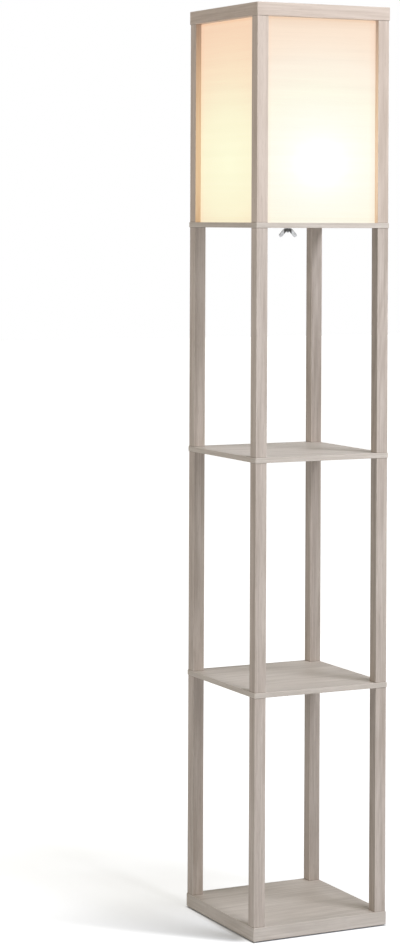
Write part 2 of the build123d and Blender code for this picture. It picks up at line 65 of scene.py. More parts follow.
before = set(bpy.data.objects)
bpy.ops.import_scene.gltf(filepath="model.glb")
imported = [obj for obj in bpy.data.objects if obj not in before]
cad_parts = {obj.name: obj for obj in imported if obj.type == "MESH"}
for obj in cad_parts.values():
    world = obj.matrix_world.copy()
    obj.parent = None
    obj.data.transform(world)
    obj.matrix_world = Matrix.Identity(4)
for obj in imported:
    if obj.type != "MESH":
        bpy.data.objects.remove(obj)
cad_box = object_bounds()

mm = 0.001
lamp_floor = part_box("lamp_board")[1].z

corners = ("front_left", "front_right", "back_left", "back_right")
sides = ("front", "right", "back", "left")
tiers = ("low", "mid", "high", "lamp")


# ---------------------------------------------------------------- settings
def colour(name, description, default):
    return FloatVectorProperty(
        name=name, description=description, default=default, subtype="COLOR", min=0, max=1
    )


def number(name, description, default, **limits):
    return FloatProperty(name=name, description=description, default=default, **limits)


def length(name, description, default):
    return number(name, description, default, unit="LENGTH", min=0)


def angle(name, description, default):
    return number(name, description, default, subtype="ANGLE")


def power(name, description, default):
    return number(name, description, default, unit="POWER", min=0)


def factor(name, description, default, largest=1.0):
    return number(name, description, default, min=0, max=largest)


class StageSettings(PropertyGroup):
    distance: length("Camera distance", "From the lamp's axis to the camera", 4.5644)
    height: length("Camera height", "Height of the camera over the floor", 1.230)
    around: angle("Camera place", "Its turn round the lamp, from the front", radians(-28.265))
    heading: angle("Camera heading", "Turn of the sight from straight back", radians(-26.321))
    dip: angle("Camera dip", "How far the line of sight points down", radians(0.457))
    tilt: angle("Camera tilt", "Turn of the picture about the line of sight", radians(0.232))
    focal_length: number("Focal length", "In millimetres, on a sensor 36 mm high", 98.25)
    rise: number("Lens rise", "Vertical shift of the lens, in heights of the picture", -0.2468)
    floor_white: factor("Floor white", "How far the floor near the lamp whitens by itself", 0.69)
    shadow_depth: factor("Shadow depth", "How much less the floor whitens in the shadow", 0.60)
    shadow_reach: length("Shadow reach", "How far the shadow runs from the lamp's axis", 0.50)
    ambient: factor("Ambient light", "Strength of the even light from all round", 0.135, 3)
    ambient_colour: colour("Ambient colour", "Colour of the even light", (1.0, 0.92, 0.60))
    front_power: power("Front light", "Power of the tall front lamp", 24.5)
    front_colour: colour("Front colour", "Colour of the tall front lamp", (1.0, 0.98, 0.98))
    side_power: power("Side light", "Power of the tall left lamp", 13.5)
    side_colour: colour("Side colour", "Colour of the tall left lamp", (1.0, 0.92, 0.88))
    top_power: power("Top light", "Power of the round high lamp", 40.0)
    top_colour: colour("Top colour", "Colour of the round high lamp", (0.94, 0.95, 1.0))


class WoodSettings(PropertyGroup):
    pale: colour("Pale grain", "Colour of the foil's pale wood", (0.76, 0.68, 0.63))
    dark: colour("Dark grain", "Colour of the foil's dark streaks", (0.53, 0.455, 0.405))
    pore: colour("Pores", "Colour of the fine pores", (0.38, 0.31, 0.265))
    # the edge colour is wear and a painted highlight along the bevels
    worn_and_highlit: colour("Worn edge", "Colour where the edges are rubbed", (0.86, 0.79, 0.74))
    # the seam colour: a dark line with painted contact shade
    joint: colour("Joint line", "Colour of the fine lines at the joints", (0.24, 0.19, 0.16))
    board_cast: colour("Board cast", "Colour mixed into the boards' foil", (1.0, 1.0, 0.95))
    # painted light: a warm pale tone that stands in for the shade's glow on the wood round it
    painted_shade_glow: colour("Shade cast", "Colour mixed in round the shade", (0.92, 0.73, 0.60))
    cast_share: factor("Cast share", "How much of its cast the foil takes", 0.22)
    lit: colour("Lit wood", "Light that the shade throws on the posts", (0.31, 0.165, 0.060))
    lit_height: length("Lit height", "Height of the brightest place on the posts", 1.335)
    lit_reach: length("Lit reach", "How far up and down the posts are lit", 0.235)


class ShadeSettings(PropertyGroup):
    # the cloth's own colour is kept dark, as the studio light on it is painted into its glow
    cloth: colour("Cloth", "Colour of the cloth where no light comes through", (0.14, 0.165, 0.15))
    thread: length("Thread pitch", "From one thread of the weave to the next", 0.00045)
    glow: factor("Glow", "Strength of the light that comes through", 1.0, 4)
    glow_height: length("Glow height", "Middle of the bright spot over the lamp board", 0.103)
    glow_reach: length("Glow reach", "How far the bright spot spreads", 0.117)


class HolderSettings(PropertyGroup):
    black: colour("Moulded black", "Colour of the lampholder's plastic", (0.020, 0.020, 0.022))
    ribs: IntProperty(name="Grip ribs", description="Ribs round the barrel", default=24, min=3)
    rib_deep: length("Rib depth", "Depth of the grooves between the ribs", 0.5 * mm)
    zinc: colour("Zinc", "Colour of the zinc plated steel", (0.60, 0.61, 0.63))
    brass: colour("Brass", "Colour of the brass contacts", (0.80, 0.60, 0.30))


class NutSettings(PropertyGroup):
    zinc: colour("Bright zinc", "Colour of the bright plating", (0.74, 0.76, 0.79))
    # the dark colour is painted shade and dark reflection on the hub and rims, and some soiling
    grime_and_dark_reflection: colour("Grime", "Colour in the hollows and along the rims", (0.035, 0.033, 0.030))
    voxel: length("Form step", "Size of the steps that blend the wings into the hub", 0.25 * mm)


class BulbSettings(PropertyGroup):
    glow: factor("Glow", "Strength of the globe's light", 2.2, 20)
    light: colour("Light", "Colour of the globe's light", (1.0, 0.88, 0.68))
    thread_pitch: length("Thread pitch", "Rise of the screw cap in one turn", 3.629 * mm)
    thread_deep: length("Thread depth", "Depth of the cap's rolled thread", 1.05 * mm)


class LampSettings(PropertyGroup):
    stage: PointerProperty(type=StageSettings, name="Stage")
    wood: PointerProperty(type=WoodSettings, name="Wood foil")
    shade: PointerProperty(type=ShadeSettings, name="Shade")
    holder: PointerProperty(type=HolderSettings, name="Lampholder")
    nut: PointerProperty(type=NutSettings, name="Wing nut")
    bulb: PointerProperty(type=BulbSettings, name="Bulb")


# ------------------------------------------------------------ node helpers
class Wiring:
    """A node tree, with short calls for its nodes and links."""

    # a Mix node's two inputs and its output, for each kind of value
    mix_sockets = {"FLOAT": (2, 3, 0), "VECTOR": (4, 5, 1), "RGBA": (6, 7, 2)}

    def __init__(self, tree):
        self.nodes = tree.nodes
        self.links = tree.links

    def link(self, source, target):
        self.links.new(source, target)

    def fill(self, socket, value):
        """Set an input to a number, a vector or another node's output."""
        if isinstance(value, bpy.types.NodeSocket):
            self.link(value, socket)
        else:
            socket.default_value = value

    def node(self, kind, **settings):
        made = self.nodes.new("ShaderNode" + kind)
        for name, value in settings.items():
            setattr(made, name, value)
        return made

    def seen(self):
        """1 for the rays that show a surface, straight, mirrored or through glass."""
        rays = self.node("LightPath").outputs
        mirrored = self.math("MAXIMUM", rays["Is Glossy Ray"], rays["Is Transmission Ray"])
        return self.math("MAXIMUM", rays["Is Camera Ray"], mirrored)

    def split(self, vector):
        parts = self.node("SeparateXYZ")
        self.link(vector, parts.inputs[0])
        return parts.outputs

    def join(self, x, y, z):
        whole = self.node("CombineXYZ")
        for socket, value in zip(whole.inputs, (x, y, z)):
            self.fill(socket, value)
        return whole.outputs[0]

    def math(self, operation, *values, clamp=False):
        step = self.node("Math", operation=operation, use_clamp=clamp)
        for socket, value in zip(step.inputs, values):
            self.fill(socket, value)
        return step.outputs[0]

    def vector_math(self, operation, *vectors):
        """The outputs of a vector operation, its Vector and its Value."""
        step = self.node("VectorMath", operation=operation)
        for socket, vector in zip(step.inputs, vectors):
            self.fill(socket, vector)
        return step.outputs

    def squares(self, first, second):
        """The sum of two squares."""
        return self.math("MULTIPLY_ADD", first, first, self.math("MULTIPLY", second, second))

    def scaled(self, vector, scale):
        step = self.node("Mapping")
        self.link(vector, step.inputs["Vector"])
        step.inputs["Scale"].default_value = scale
        return step.outputs[0]

    def noise(self, vector, scale=1.0, detail=2.0, roughness=0.5, distortion=0.0):
        step = self.node("TexNoise")
        self.link(vector, step.inputs["Vector"])
        step.inputs["Scale"].default_value = scale
        step.inputs["Detail"].default_value = detail
        step.inputs["Roughness"].default_value = roughness
        step.inputs["Distortion"].default_value = distortion
        return step.outputs["Fac"]

    def remap(self, value, low, high, new_low=0.0, new_high=1.0, smooth=False):
        step = self.node("MapRange", interpolation_type="SMOOTHSTEP" if smooth else "LINEAR")
        for socket, given in zip(step.inputs, (value, low, high, new_low, new_high)):
            self.fill(socket, given)
        return step.outputs[0]

    def line(self, value, place, near, far, strength=1.0, smooth=True):
        """A line where the value is near a place, faded out at the far distance from it."""
        off = self.math("ABSOLUTE", self.math("SUBTRACT", value, place))
        return self.remap(off, near, far, strength, 0.0, smooth)

    def mix(self, share, first, second, kind="RGBA", blend="MIX"):
        """Mix two values of a kind, colours if it isn't given."""
        step = self.node("Mix", data_type=kind, blend_type=blend)
        one, other, mixed = self.mix_sockets[kind]
        self.fill(step.inputs["Factor"], share)
        self.fill(step.inputs[one], rgba(first))
        self.fill(step.inputs[other], rgba(second))
        return step.outputs[mixed]

    def tint(self, base, tone, share=1.0):
        """Multiply a colour by a tone, by a share of it."""
        return self.mix(share, base, tone, blend="MULTIPLY")

    def ramp(self, value, stops):
        """Colours at places from 0 to 1, blended between them."""
        step = self.node("ValToRGB")
        self.link(value, step.inputs["Fac"])
        elements = step.color_ramp.elements
        while len(elements) < len(stops):
            elements.new(0.5)
        for element, (place, tone) in zip(elements, stops):
            element.position = place
            element.color = rgba(tone)
        return step.outputs["Color"]

    def waves(self, vector, pitch, direction):
        """Smooth ridges across one direction, from 0 to 1."""
        step = self.node("TexWave", wave_type="BANDS", bands_direction=direction)
        self.link(vector, step.inputs["Vector"])
        step.inputs["Scale"].default_value = 2 * pi / 20 / pitch
        return step.outputs["Fac"]


class Finish(Wiring):
    """A material under construction, on its surface shader."""

    def __init__(self, name):
        self.material = bpy.data.materials.new(name)
        self.material.use_nodes = True
        super().__init__(self.material.node_tree)
        self.surface = self.nodes["Principled BSDF"]

    def object_point(self):
        return self.node("TexCoord").outputs["Object"]

    def object_normal(self):
        return self.node("TexCoord").outputs["Normal"]

    def bump(self, height, distance, strength=1.0):
        step = self.node("Bump")
        self.link(height, step.inputs["Height"])
        step.inputs["Distance"].default_value = distance
        step.inputs["Strength"].default_value = strength
        self.link(step.outputs["Normal"], self.surface.inputs["Normal"])

    def set(self, **values):
        """Set the surface shader's inputs, named with _ for each space."""
        for name, value in values.items():
            if not isinstance(value, (int, float)):
                value = rgba(value)
            self.fill(self.surface.inputs[name.replace("_", " ")], value)


def rgba(value):
    """A colour setting with its alpha, or a node's output as it is."""
    if isinstance(value, bpy.types.NodeSocket) or len(value) == 4:
        return value
    return (*value, 1.0)


def paint(finish, *nodes):
    """Give CAD nodes a finish."""
    for name in nodes:
        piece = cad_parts[name]
        piece.data.materials.clear()
        piece.data.materials.append(finish)


def add_piece(name, bm, finish, body):
    """Make a new piece from a bmesh, with its finish, riding on a body."""
    mesh = bpy.data.meshes.new(name)
    bm.to_mesh(mesh)
    bm.free()
    mesh.materials.append(finish)
    piece = bpy.data.objects.new(name, mesh)
    bpy.context.scene.collection.objects.link(piece)
    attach(piece, body)
    return piece


# ------------------------------------------------------------------- stage
class LAMP_OT_stage(Operator):
    """Add the camera, the floor, the backdrop and the lights"""

    bl_idname = "lamp.stage"
    bl_label = "Stage"

    def execute(self, context):
        stage = context.scene.lamp.stage
        self.add_camera(context, stage)
        self.add_floor(context, stage)
        self.add_world(context, stage)
        # each lamp's name, place, width, height, power and colour
        for lamp in (
            ("front_light", (0.12, -2.7, 1.5), 0.5, 2.2, stage.front_power, stage.front_colour),
            ("side_light", (-2.4, -0.12, 1.5), 0.5, 1.6, stage.side_power, stage.side_colour),
            ("top_light", (0.8, -1.6, 3.2), 1.0, 1.0, stage.top_power, stage.top_colour),
        ):
            self.add_lamp(context, *lamp)
        context.scene.view_settings.view_transform = "Standard"
        return {"FINISHED"}

    def add_camera(self, context, stage):
        data = bpy.data.cameras.new("camera")
        data.lens = stage.focal_length
        data.sensor_width = 36
        data.sensor_fit = "AUTO"
        data.shift_y = stage.rise
        data.clip_end = 100
        camera = bpy.data.objects.new("camera", data)
        x = stage.distance * sin(stage.around)
        y = -stage.distance * cos(stage.around)
        turn = (
            Matrix.Rotation(stage.heading, 4, "Z")
            @ Matrix.Rotation(pi / 2 - stage.dip, 4, "X")
            @ Matrix.Rotation(stage.tilt, 4, "Z")
        )
        camera.matrix_world = Matrix.Translation((x, y, stage.height)) @ turn
        context.scene.collection.objects.link(camera)
        context.scene.camera = camera

    def add_floor(self, context, stage):
        """A pale floor that is white far off, dark under the base and grey in the shadow."""
        bm = bmesh.new()
        bmesh.ops.create_grid(bm, x_segments=1, y_segments=1, size=20)
        mesh = bpy.data.meshes.new("floor")
        bm.to_mesh(mesh)
        bm.free()
        floor = bpy.data.objects.new("floor", mesh)
        context.scene.collection.objects.link(floor)
        finish = Finish("pale_floor")
        place = finish.object_point()
        x, y, _ = finish.split(place)
        near, far = 0.35, 1.3
        distance = finish.vector_math("LENGTH", place)["Value"]
        white = finish.remap(distance, near, far, stage.floor_white, 1.0, smooth=True)
        shaded = self.shadow(finish, stage, x, y)
        white = finish.math("MULTIPLY_ADD", shaded, -stage.shadow_depth, white)

        # no white of its own under the base
        edge = cad_box[1].x
        outward = finish.math("MAXIMUM", finish.math("ABSOLUTE", x), finish.math("ABSOLUTE", y))
        clear = finish.remap(outward, edge - 1 * mm, edge + 3 * mm, smooth=True)
        white = finish.math("MULTIPLY", white, clear)
        finish.set(
            Base_Color=(0.77, 0.80, 0.85),
            Roughness=0.9,
            Specular_IOR_Level=0.1,
            Emission_Color=(1, 1, 1),
            Emission_Strength=finish.math("MULTIPLY", white, finish.seen()),
        )
        mesh.materials.append(finish.material)

    def shadow(self, finish, stage, x, y):
        """How deep a place is in the shadow, which runs back and to the left from the base.

        Its near side starts at the front left corner and blurs as it runs back.
        """
        slant = 0.5**0.5
        onset, blur_least, blur_growth = 0.04, 0.010, 0.06
        far_start, far_end = -0.16, 0.10
        back = finish.math("MULTIPLY", finish.math("SUBTRACT", y, x), slant)
        aside = finish.math("MULTIPLY", finish.math("ADD", x, y), slant)
        fade = finish.math("MULTIPLY_ADD", back, -1 / stage.shadow_reach, 1.0, clamp=True)
        start = finish.remap(back, 0.0, onset, smooth=True)
        blur = finish.math("MULTIPLY_ADD", back, blur_growth, blur_least)
        corner = 2 * cad_box[1].x * slant + 5 * mm
        inward = finish.math("DIVIDE", finish.math("ADD", aside, corner), blur)
        near_side = finish.remap(inward, -1.0, 1.2, smooth=True)
        far_side = finish.remap(aside, far_start, far_end, 1.0, 0.0, smooth=True)
        shaded = finish.math("MULTIPLY", finish.math("POWER", fade, 1.2), start)
        return finish.math("MULTIPLY", shaded, finish.math("MULTIPLY", near_side, far_side))

    def add_world(self, context, stage):
        """Even light from all round, and a white backdrop for the rays that show it."""
        world = bpy.data.worlds.new("studio")
        world.use_nodes = True
        air = Wiring(world.node_tree)
        backdrop = air.nodes["Background"]
        backdrop.inputs["Color"].default_value = (1, 1, 1, 1)
        light = air.node("Background")
        light.inputs["Color"].default_value = rgba(stage.ambient_colour)
        light.inputs["Strength"].default_value = stage.ambient
        mix = air.node("MixShader")
        for socket, source in zip(mix.inputs, (air.seen(), light.outputs[0], backdrop.outputs[0])):
            air.link(source, socket)
        air.link(mix.outputs[0], air.nodes["World Output"].inputs["Surface"])
        context.scene.world = world

    def add_lamp(self, context, name, place, wide, high, watts, tone):
        """A soft lamp that faces the middle of the object."""
        data = bpy.data.lights.new(name, "AREA")
        data.energy = watts
        data.color = tone
        data.shape = "ELLIPSE"
        data.size = wide
        data.size_y = high
        lamp = bpy.data.objects.new(name, data)
        middle = Vector((0, 0, 1.0))
        facing = (middle - Vector(place)).to_track_quat("-Z", "Y").to_matrix().to_4x4()
        lamp.matrix_world = Matrix.Translation(place) @ facing
        context.scene.collection.objects.link(lamp)


# --------------------------------------------------------------- wood foil
joint_levels = sorted(
    {round(corner.z, 5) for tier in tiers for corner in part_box(f"{tier}_post_front_left")}
)


def grain_place(finish, along, x, y, z):
    """A place with the grain's axis first. On boards the grain turns with the edges."""
    if along == "board":
        edge_x, _, _ = finish.split(finish.object_normal())
        turned = finish.math("GREATER_THAN", finish.math("ABSOLUTE", edge_x), 0.8)
        return finish.mix(turned, finish.join(x, y, z), finish.join(y, x, z), "VECTOR")
    order = {"X": (x, y, z), "Y": (y, x, z), "Z": (z, x, y)}[along]
    return finish.join(*order)


def grained_noise(finish, grain, along, across, **kind):
    """Noise with one scale along the grain and another across it."""
    return finish.noise(finish.scaled(grain, (along, across, across)), **kind)


def bevel_mask(finish):
    """Where the edges are bevelled, whose faces look along no single axis."""
    facing = finish.vector_math("ABSOLUTE", finish.object_normal())["Vector"]
    face_x, face_y, face_z = finish.split(facing)
    squarest = finish.math("MAXIMUM", finish.math("MAXIMUM", face_x, face_y), face_z)
    return finish.remap(squarest, 0.80, 0.95, 1.0, 0.0)


def light_inner_faces(finish, wood, z):
    """Light the faces that look into the light box, most at the bulb's height."""
    reach = wood.lit_reach
    inward = finish.vector_math("DOT_PRODUCT", finish.object_point(), finish.object_normal())
    inside = finish.math("LESS_THAN", inward["Value"], 0.0)
    off = finish.math("MULTIPLY_ADD", z, 1 / reach, -wood.lit_height / reach)
    fade = finish.math("MULTIPLY", off, off)
    fade = finish.math("MULTIPLY_ADD", fade, -1.0, 1.0, clamp=True)
    finish.set(Emission_Color=wood.lit, Emission_Strength=finish.math("MULTIPLY", inside, fade))


def wood_finish(wood, name, along, cast=None, lit=False):
    """Printed wood foil whose grain runs along an axis, paler along its edges with wear and a
    painted highlight.
    """
    finish = Finish(name)
    x, y, z = finish.split(finish.object_point())
    grain = grain_place(finish, along, x, y, z)

    # broad rings, then bands, streaks and pores, each finer than the one before
    figure = grained_noise(finish, grain, 1.1, 9, detail=2, distortion=0.4)
    rings = finish.math("SINE", finish.math("MULTIPLY", figure, 90))
    bands = grained_noise(finish, grain, 2.2, 46, detail=3)
    streaks = grained_noise(finish, grain, 9, 330, detail=3, roughness=0.62)
    pores = grained_noise(finish, grain, 55, 1700, detail=1)
    pores = finish.remap(pores, 0.60, 0.70, smooth=True)
    tone = finish.math("MULTIPLY_ADD", rings, 0.13, finish.remap(bands, 0.3, 0.7, 0.12, 0.68))
    tone = finish.math("ADD", tone, finish.remap(streaks, 0.3, 0.7, -0.36, 0.40), clamp=True)
    foil = finish.mix(tone, wood.pale, wood.dark)
    foil = finish.mix(finish.math("MULTIPLY", pores, 0.35), foil, wood.pore)
    # the boards take a plain tint; the wood round the shade takes painted light from its glow
    if cast:
        foil = finish.mix(wood.cast_share, foil, cast)

    # patchy wear and a painted highlight on the bevelled edges
    rubbed_and_highlit = finish.remap(finish.noise(finish.object_point(), scale=60), 0.35, 0.65, 0.35, 0.75)
    foil = finish.mix(finish.math("MULTIPLY", bevel_mask(finish), rubbed_and_highlit), foil, wood.worn_and_highlit)
    # a dark seam line with painted contact shade wherever a post meets a board
    if along == "Z":
        for level in joint_levels:
            foil = finish.mix(finish.line(z, level, 0.5 * mm, 1.4 * mm, 0.55), foil, wood.joint)
    if lit:
        light_inner_faces(finish, wood, z)

    finish.set(
        Base_Color=foil,
        Roughness=finish.remap(streaks, 0.3, 0.7, 0.50, 0.60),
        Specular_IOR_Level=0.35,
    )
    relief = finish.math("MULTIPLY_ADD", pores, -0.6, finish.math("MULTIPLY", streaks, -0.5))
    finish.bump(relief, 0.06 * mm, 0.5)
    return finish.material


class LAMP_OT_wood(Operator):
    """Give the posts, the boards and the top frame their wood foil"""

    bl_idname = "lamp.wood"
    bl_label = "Wood foil"

    def execute(self, context):
        wood = context.scene.lamp.wood
        upright = wood_finish(wood, "foil_upright", "Z")
        paint(upright, *[f"{tier}_post_{corner}" for tier in tiers[:3] for corner in corners])
        # the lamp posts and the rails take the shade's glow as painted light
        lit = wood_finish(wood, "foil_lit", "Z", wood.painted_shade_glow, lit=True)
        paint(lit, *[f"lamp_post_{corner}" for corner in corners])
        board = wood_finish(wood, "foil_board", "board", wood.board_cast)
        paint(board, "base_board", "low_shelf", "mid_shelf", "lamp_board")
        rail_x = wood_finish(wood, "foil_rail_x", "X", wood.painted_shade_glow)
        paint(rail_x, "top_rail_front", "top_rail_back")
        rail_y = wood_finish(wood, "foil_rail_y", "Y", wood.painted_shade_glow)
        paint(rail_y, "top_rail_left", "top_rail_right")
        return {"FINISHED"}


# ------------------------------------------------------------ shade panels
# Light through the cloth, from far off to right before the bulb. Seen squarely, on the
# front and the back, the bulb shows white; at the sides it stays yellow. The stops also hold
# painted studio light on the cloth's outside, more on the front and back than on the sides,
# so the two lists are a lit and a shaded copy of one cloth.
face_glow = (
    (0.000, (0.802, 0.568, 0.412)),
    (0.097, (0.842, 0.648, 0.509)),
    (0.170, (0.862, 0.735, 0.614)),
    (0.324, (0.872, 0.818, 0.677)),
    (0.611, (0.882, 0.856, 0.758)),
    (0.780, (0.902, 0.886, 0.822)),
    (0.920, (0.990, 0.938, 0.922)),
    (1.000, (1.000, 1.000, 0.982)),
)
side_glow = (
    (0.000, (0.841, 0.536, 0.364)),
    (0.099, (0.901, 0.640, 0.450)),
    (0.170, (0.921, 0.710, 0.502)),
    (0.324, (0.927, 0.802, 0.570)),
    (0.504, (0.936, 0.866, 0.614)),
    (0.950, (0.951, 0.917, 0.654)),
    (1.000, (0.961, 0.932, 0.666)),
)


def glow_light(finish, shade, stops, across, up):
    """Colour of the bulb's light on a panel, at a place across it and over the lamp board.

    It falls off as a small bulb's light does on a flat sheet, a little slower to the sides.
    """
    above = finish.math("SUBTRACT", up, shade.glow_height)
    reach = finish.squares(above, finish.math("MULTIPLY", across, 0.8))
    spread = finish.math("MULTIPLY_ADD", reach, shade.glow_reach**-2, 1.0)
    return finish.ramp(finish.math("POWER", spread, -1.5), stops)


def hemmed(finish, light, aside, up, wide, tall):
    """Darken a panel's light at its double hems, and paint shade in a band under the top rail."""
    # painted shade: a darker band just under the top rail
    under_rail_shade = finish.remap(up, tall - 6 * mm, tall - 2 * mm, smooth=True)
    light = finish.tint(light, (0.96, 0.90, 0.84), under_rail_shade)
    for turned_edge in (4.8 * mm, 8.0 * mm):
        line = finish.line(up, turned_edge, 0.3 * mm, 1.0 * mm)
        light = finish.tint(light, (0.97, 0.96, 0.95), line)
    side_hem = finish.remap(aside, wide / 2 - 18 * mm, wide / 2 - 10 * mm, smooth=True)
    return finish.tint(light, (1.0, 0.96, 0.95), side_hem)


def cloth_finish(shade, name, stops, wide, tall):
    """Plain woven cloth with the bulb's light coming through it."""
    finish = Finish(name)
    place = finish.node("TexCoord").outputs["UV"]
    across, up, _ = finish.split(place)
    light = glow_light(finish, shade, stops, across, up)
    light = hemmed(finish, light, finish.math("ABSOLUTE", across), up, wide, tall)

    # uneven yarn, and a weave whose warp and weft take turns on top
    slubs = finish.noise(finish.scaled(place, (9, 700, 1)), detail=3, roughness=0.6)
    streaks = finish.noise(finish.scaled(place, (1.5, 70, 1)), detail=2)
    evenness = finish.math(
        "ADD",
        finish.remap(slubs, 0.3, 0.7, -0.015, 0.015),
        finish.remap(streaks, 0.3, 0.7, 0.985, 1.015),
    )
    warp = finish.waves(place, shade.thread, "X")
    weft = finish.waves(place, shade.thread, "Y")
    checks = finish.node("TexChecker")
    finish.link(place, checks.inputs["Vector"])
    checks.inputs["Scale"].default_value = 1 / shade.thread
    threads = finish.mix(checks.outputs["Fac"], warp, weft, "FLOAT")
    weave = finish.remap(threads, 0.0, 1.0, 0.965, 1.025)
    cast = finish.math("MULTIPLY", evenness, weave)
    grey = finish.join(cast, cast, cast)
    finish.set(
        Base_Color=finish.tint(shade.cloth, grey),
        Emission_Color=finish.tint(light, grey),
        Emission_Strength=shade.glow,
        Roughness=0.92,
        Specular_IOR_Level=0.15,
        Sheen_Weight=0.15,
        Sheen_Roughness=0.5,
    )
    finish.bump(finish.math("MULTIPLY_ADD", slubs, 0.8, threads), 0.10 * mm, 0.6)
    return finish.material


def liner_finish(shade):
    """Frosted sheet behind the cloth, bright with the bulb's light."""
    finish = Finish("shade_liner")
    place = finish.object_point()
    x, y, z = finish.split(place)
    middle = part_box("liner_front")[0].y ** 2
    across = finish.math("SUBTRACT", finish.squares(x, y), middle)
    across = finish.math("SQRT", finish.math("MAXIMUM", across, 0))
    # the liner takes the front cloth's stops, their painted studio light included
    light = glow_light(finish, shade, face_glow, across, finish.math("SUBTRACT", z, lamp_floor))
    frost = finish.noise(place, scale=900, detail=2)
    finish.set(
        Base_Color=(0.80, 0.78, 0.74),
        Emission_Color=finish.tint(light, (0.9, 0.9, 0.9), finish.remap(frost, 0.35, 0.65)),
        Emission_Strength=0.5 * shade.glow,
        Roughness=0.32,
    )
    finish.bump(frost, 0.02 * mm, 0.5)
    return finish.material


class LAMP_OT_shade(Operator):
    """Stretch the four cloth panels between the lamp posts and light them from inside"""

    bl_idname = "lamp.shade"
    bl_label = "Shade panels"

    def execute(self, context):
        shade = context.scene.lamp.shade
        low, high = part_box("shade_front")
        wide, thick, tall = high - low
        # the front and back panels take the lit copy of the cloth, the sides the shaded copy
        face_cloth = cloth_finish(shade, "cloth_face", face_glow, wide, tall)
        side_cloth = cloth_finish(shade, "cloth_side", side_glow, wide, tall)
        for quarter, side in enumerate(sides):
            bm = self.flat_panel(wide, tall)
            centre = (0, low.y + thick / 2, low.z + tall / 2)
            moved(bm, Matrix.Rotation(pi / 2, 3, "X"), centre)
            moved(bm, Matrix.Rotation(quarter * pi / 2, 3, "Z"))
            cloth = face_cloth if side in ("front", "back") else side_cloth
            panel = add_piece(f"cloth_{side}", bm, cloth, "stand")
            wall = panel.modifiers.new("cloth_thickness", "SOLIDIFY")
            wall.thickness = thick
            wall.offset = 0
            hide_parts(f"shade_{side}")
        paint(liner_finish(shade), *[f"liner_{side}" for side in sides])
        return {"FINISHED"}

    def flat_panel(self, wide, tall):
        """A grid in the XY plane, with its UV map in metres from the middle of its foot."""
        bm = bmesh.new()
        bmesh.ops.create_grid(bm, x_segments=32, y_segments=48, size=0.5)
        bmesh.ops.scale(bm, vec=(wide, tall, 1), verts=bm.verts)
        uv = bm.loops.layers.uv.new("cloth")
        for face in bm.faces:
            for corner in face.loops:
                corner[uv].uv = (corner.vert.co.x, corner.vert.co.y + tall / 2)
        return bm


# -------------------------------------------------------------- turned forms
thread_rows = 14  # rows of points in one pitch of the screw thread
merge_reach = 0.001 * mm  # points nearer than this are one


def lathe(outline, ease=0.0, steps=96):
    """Spin an upright outline of (radius, height) points once round the Z axis.

    An outline that starts off the axis is closed to a ring, and its corners may be eased.
    """
    bm = bmesh.new()
    points = [bm.verts.new((radius, 0, height)) for radius, height in outline]
    on_axis = outline[0][0] < merge_reach
    following = points[1:] if on_axis else points[1:] + points[:1]
    for pair in zip(points, following):
        bm.edges.new(pair)
    if ease:
        bmesh.ops.bevel(
            bm,
            geom=[point for point in points if len(point.link_edges) == 2],
            offset=ease,
            offset_type="OFFSET",
            segments=3,
            profile=0.5,
            affect="VERTICES",
            clamp_overlap=True,
            material=-1,
        )
    bmesh.ops.spin(
        bm,
        geom=bm.verts[:] + bm.edges[:],
        cent=(0, 0, 0),
        axis=(0, 0, 1),
        angle=2 * pi,
        steps=steps,
        use_merge=True,
    )
    bmesh.ops.remove_doubles(bm, verts=bm.verts, dist=merge_reach)
    bmesh.ops.recalc_face_normals(bm, faces=bm.faces)
    return bm


def rows(radius, bottom, top, spacing):
    """Outline points up a wall, close enough together to take a thread."""
    count = round((top - bottom) / spacing)
    return [(radius, bottom + (top - bottom) * row / count) for row in range(count + 1)]


def roll_thread(bm, pitch, deep, wave, least):
    """Press a right-handed thread into the walls outside a radius.

    The wave gives how deep the wall goes in, from 0 to 1, at a height and a share of a turn.
    """
    for vert in bm.verts:
        radius = vert.co.xy.length
        if radius > least:
            turn = atan2(vert.co.y, vert.co.x) / (2 * pi)
            phase = (vert.co.z / pitch - turn) % 1.0
            smaller = 1 - deep * wave(vert.co.z, phase) / radius
            vert.co.x *= smaller
            vert.co.y *= smaller


def smoothstep(value, low, high):
    """0 below the low value, 1 above the high one, and a smooth rise between them."""
    share = min(1.0, max(0.0, (value - low) / (high - low)))
    return share * share * (3 - 2 * share)


def ripple(turn):
    """A smooth wave that is 0 at each whole turn and 1 half way between them."""
    return 0.5 - 0.5 * cos(2 * pi * turn)


def verts_of(geom):
    """The vertices among the parts that an operator gives back."""
    return [part for part in geom if isinstance(part, bmesh.types.BMVert)]


def stand_in(piece, node, crisp=35):
    """Let a finished piece stand for a CAD node, smooth but for edges over an angle."""
    piece.data.shade_smooth()
    piece.data.set_sharp_from_angle(angle=radians(crisp))
    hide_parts(node)


def bake_modifiers(piece):
    """Turn a piece's modifiers into its mesh."""
    depsgraph = bpy.context.evaluated_depsgraph_get()
    mesh = bpy.data.meshes.new_from_object(piece.evaluated_get(depsgraph))
    piece.modifiers.clear()
    old, piece.data = piece.data, mesh
    mesh.name = old.name
    bpy.data.meshes.remove(old)


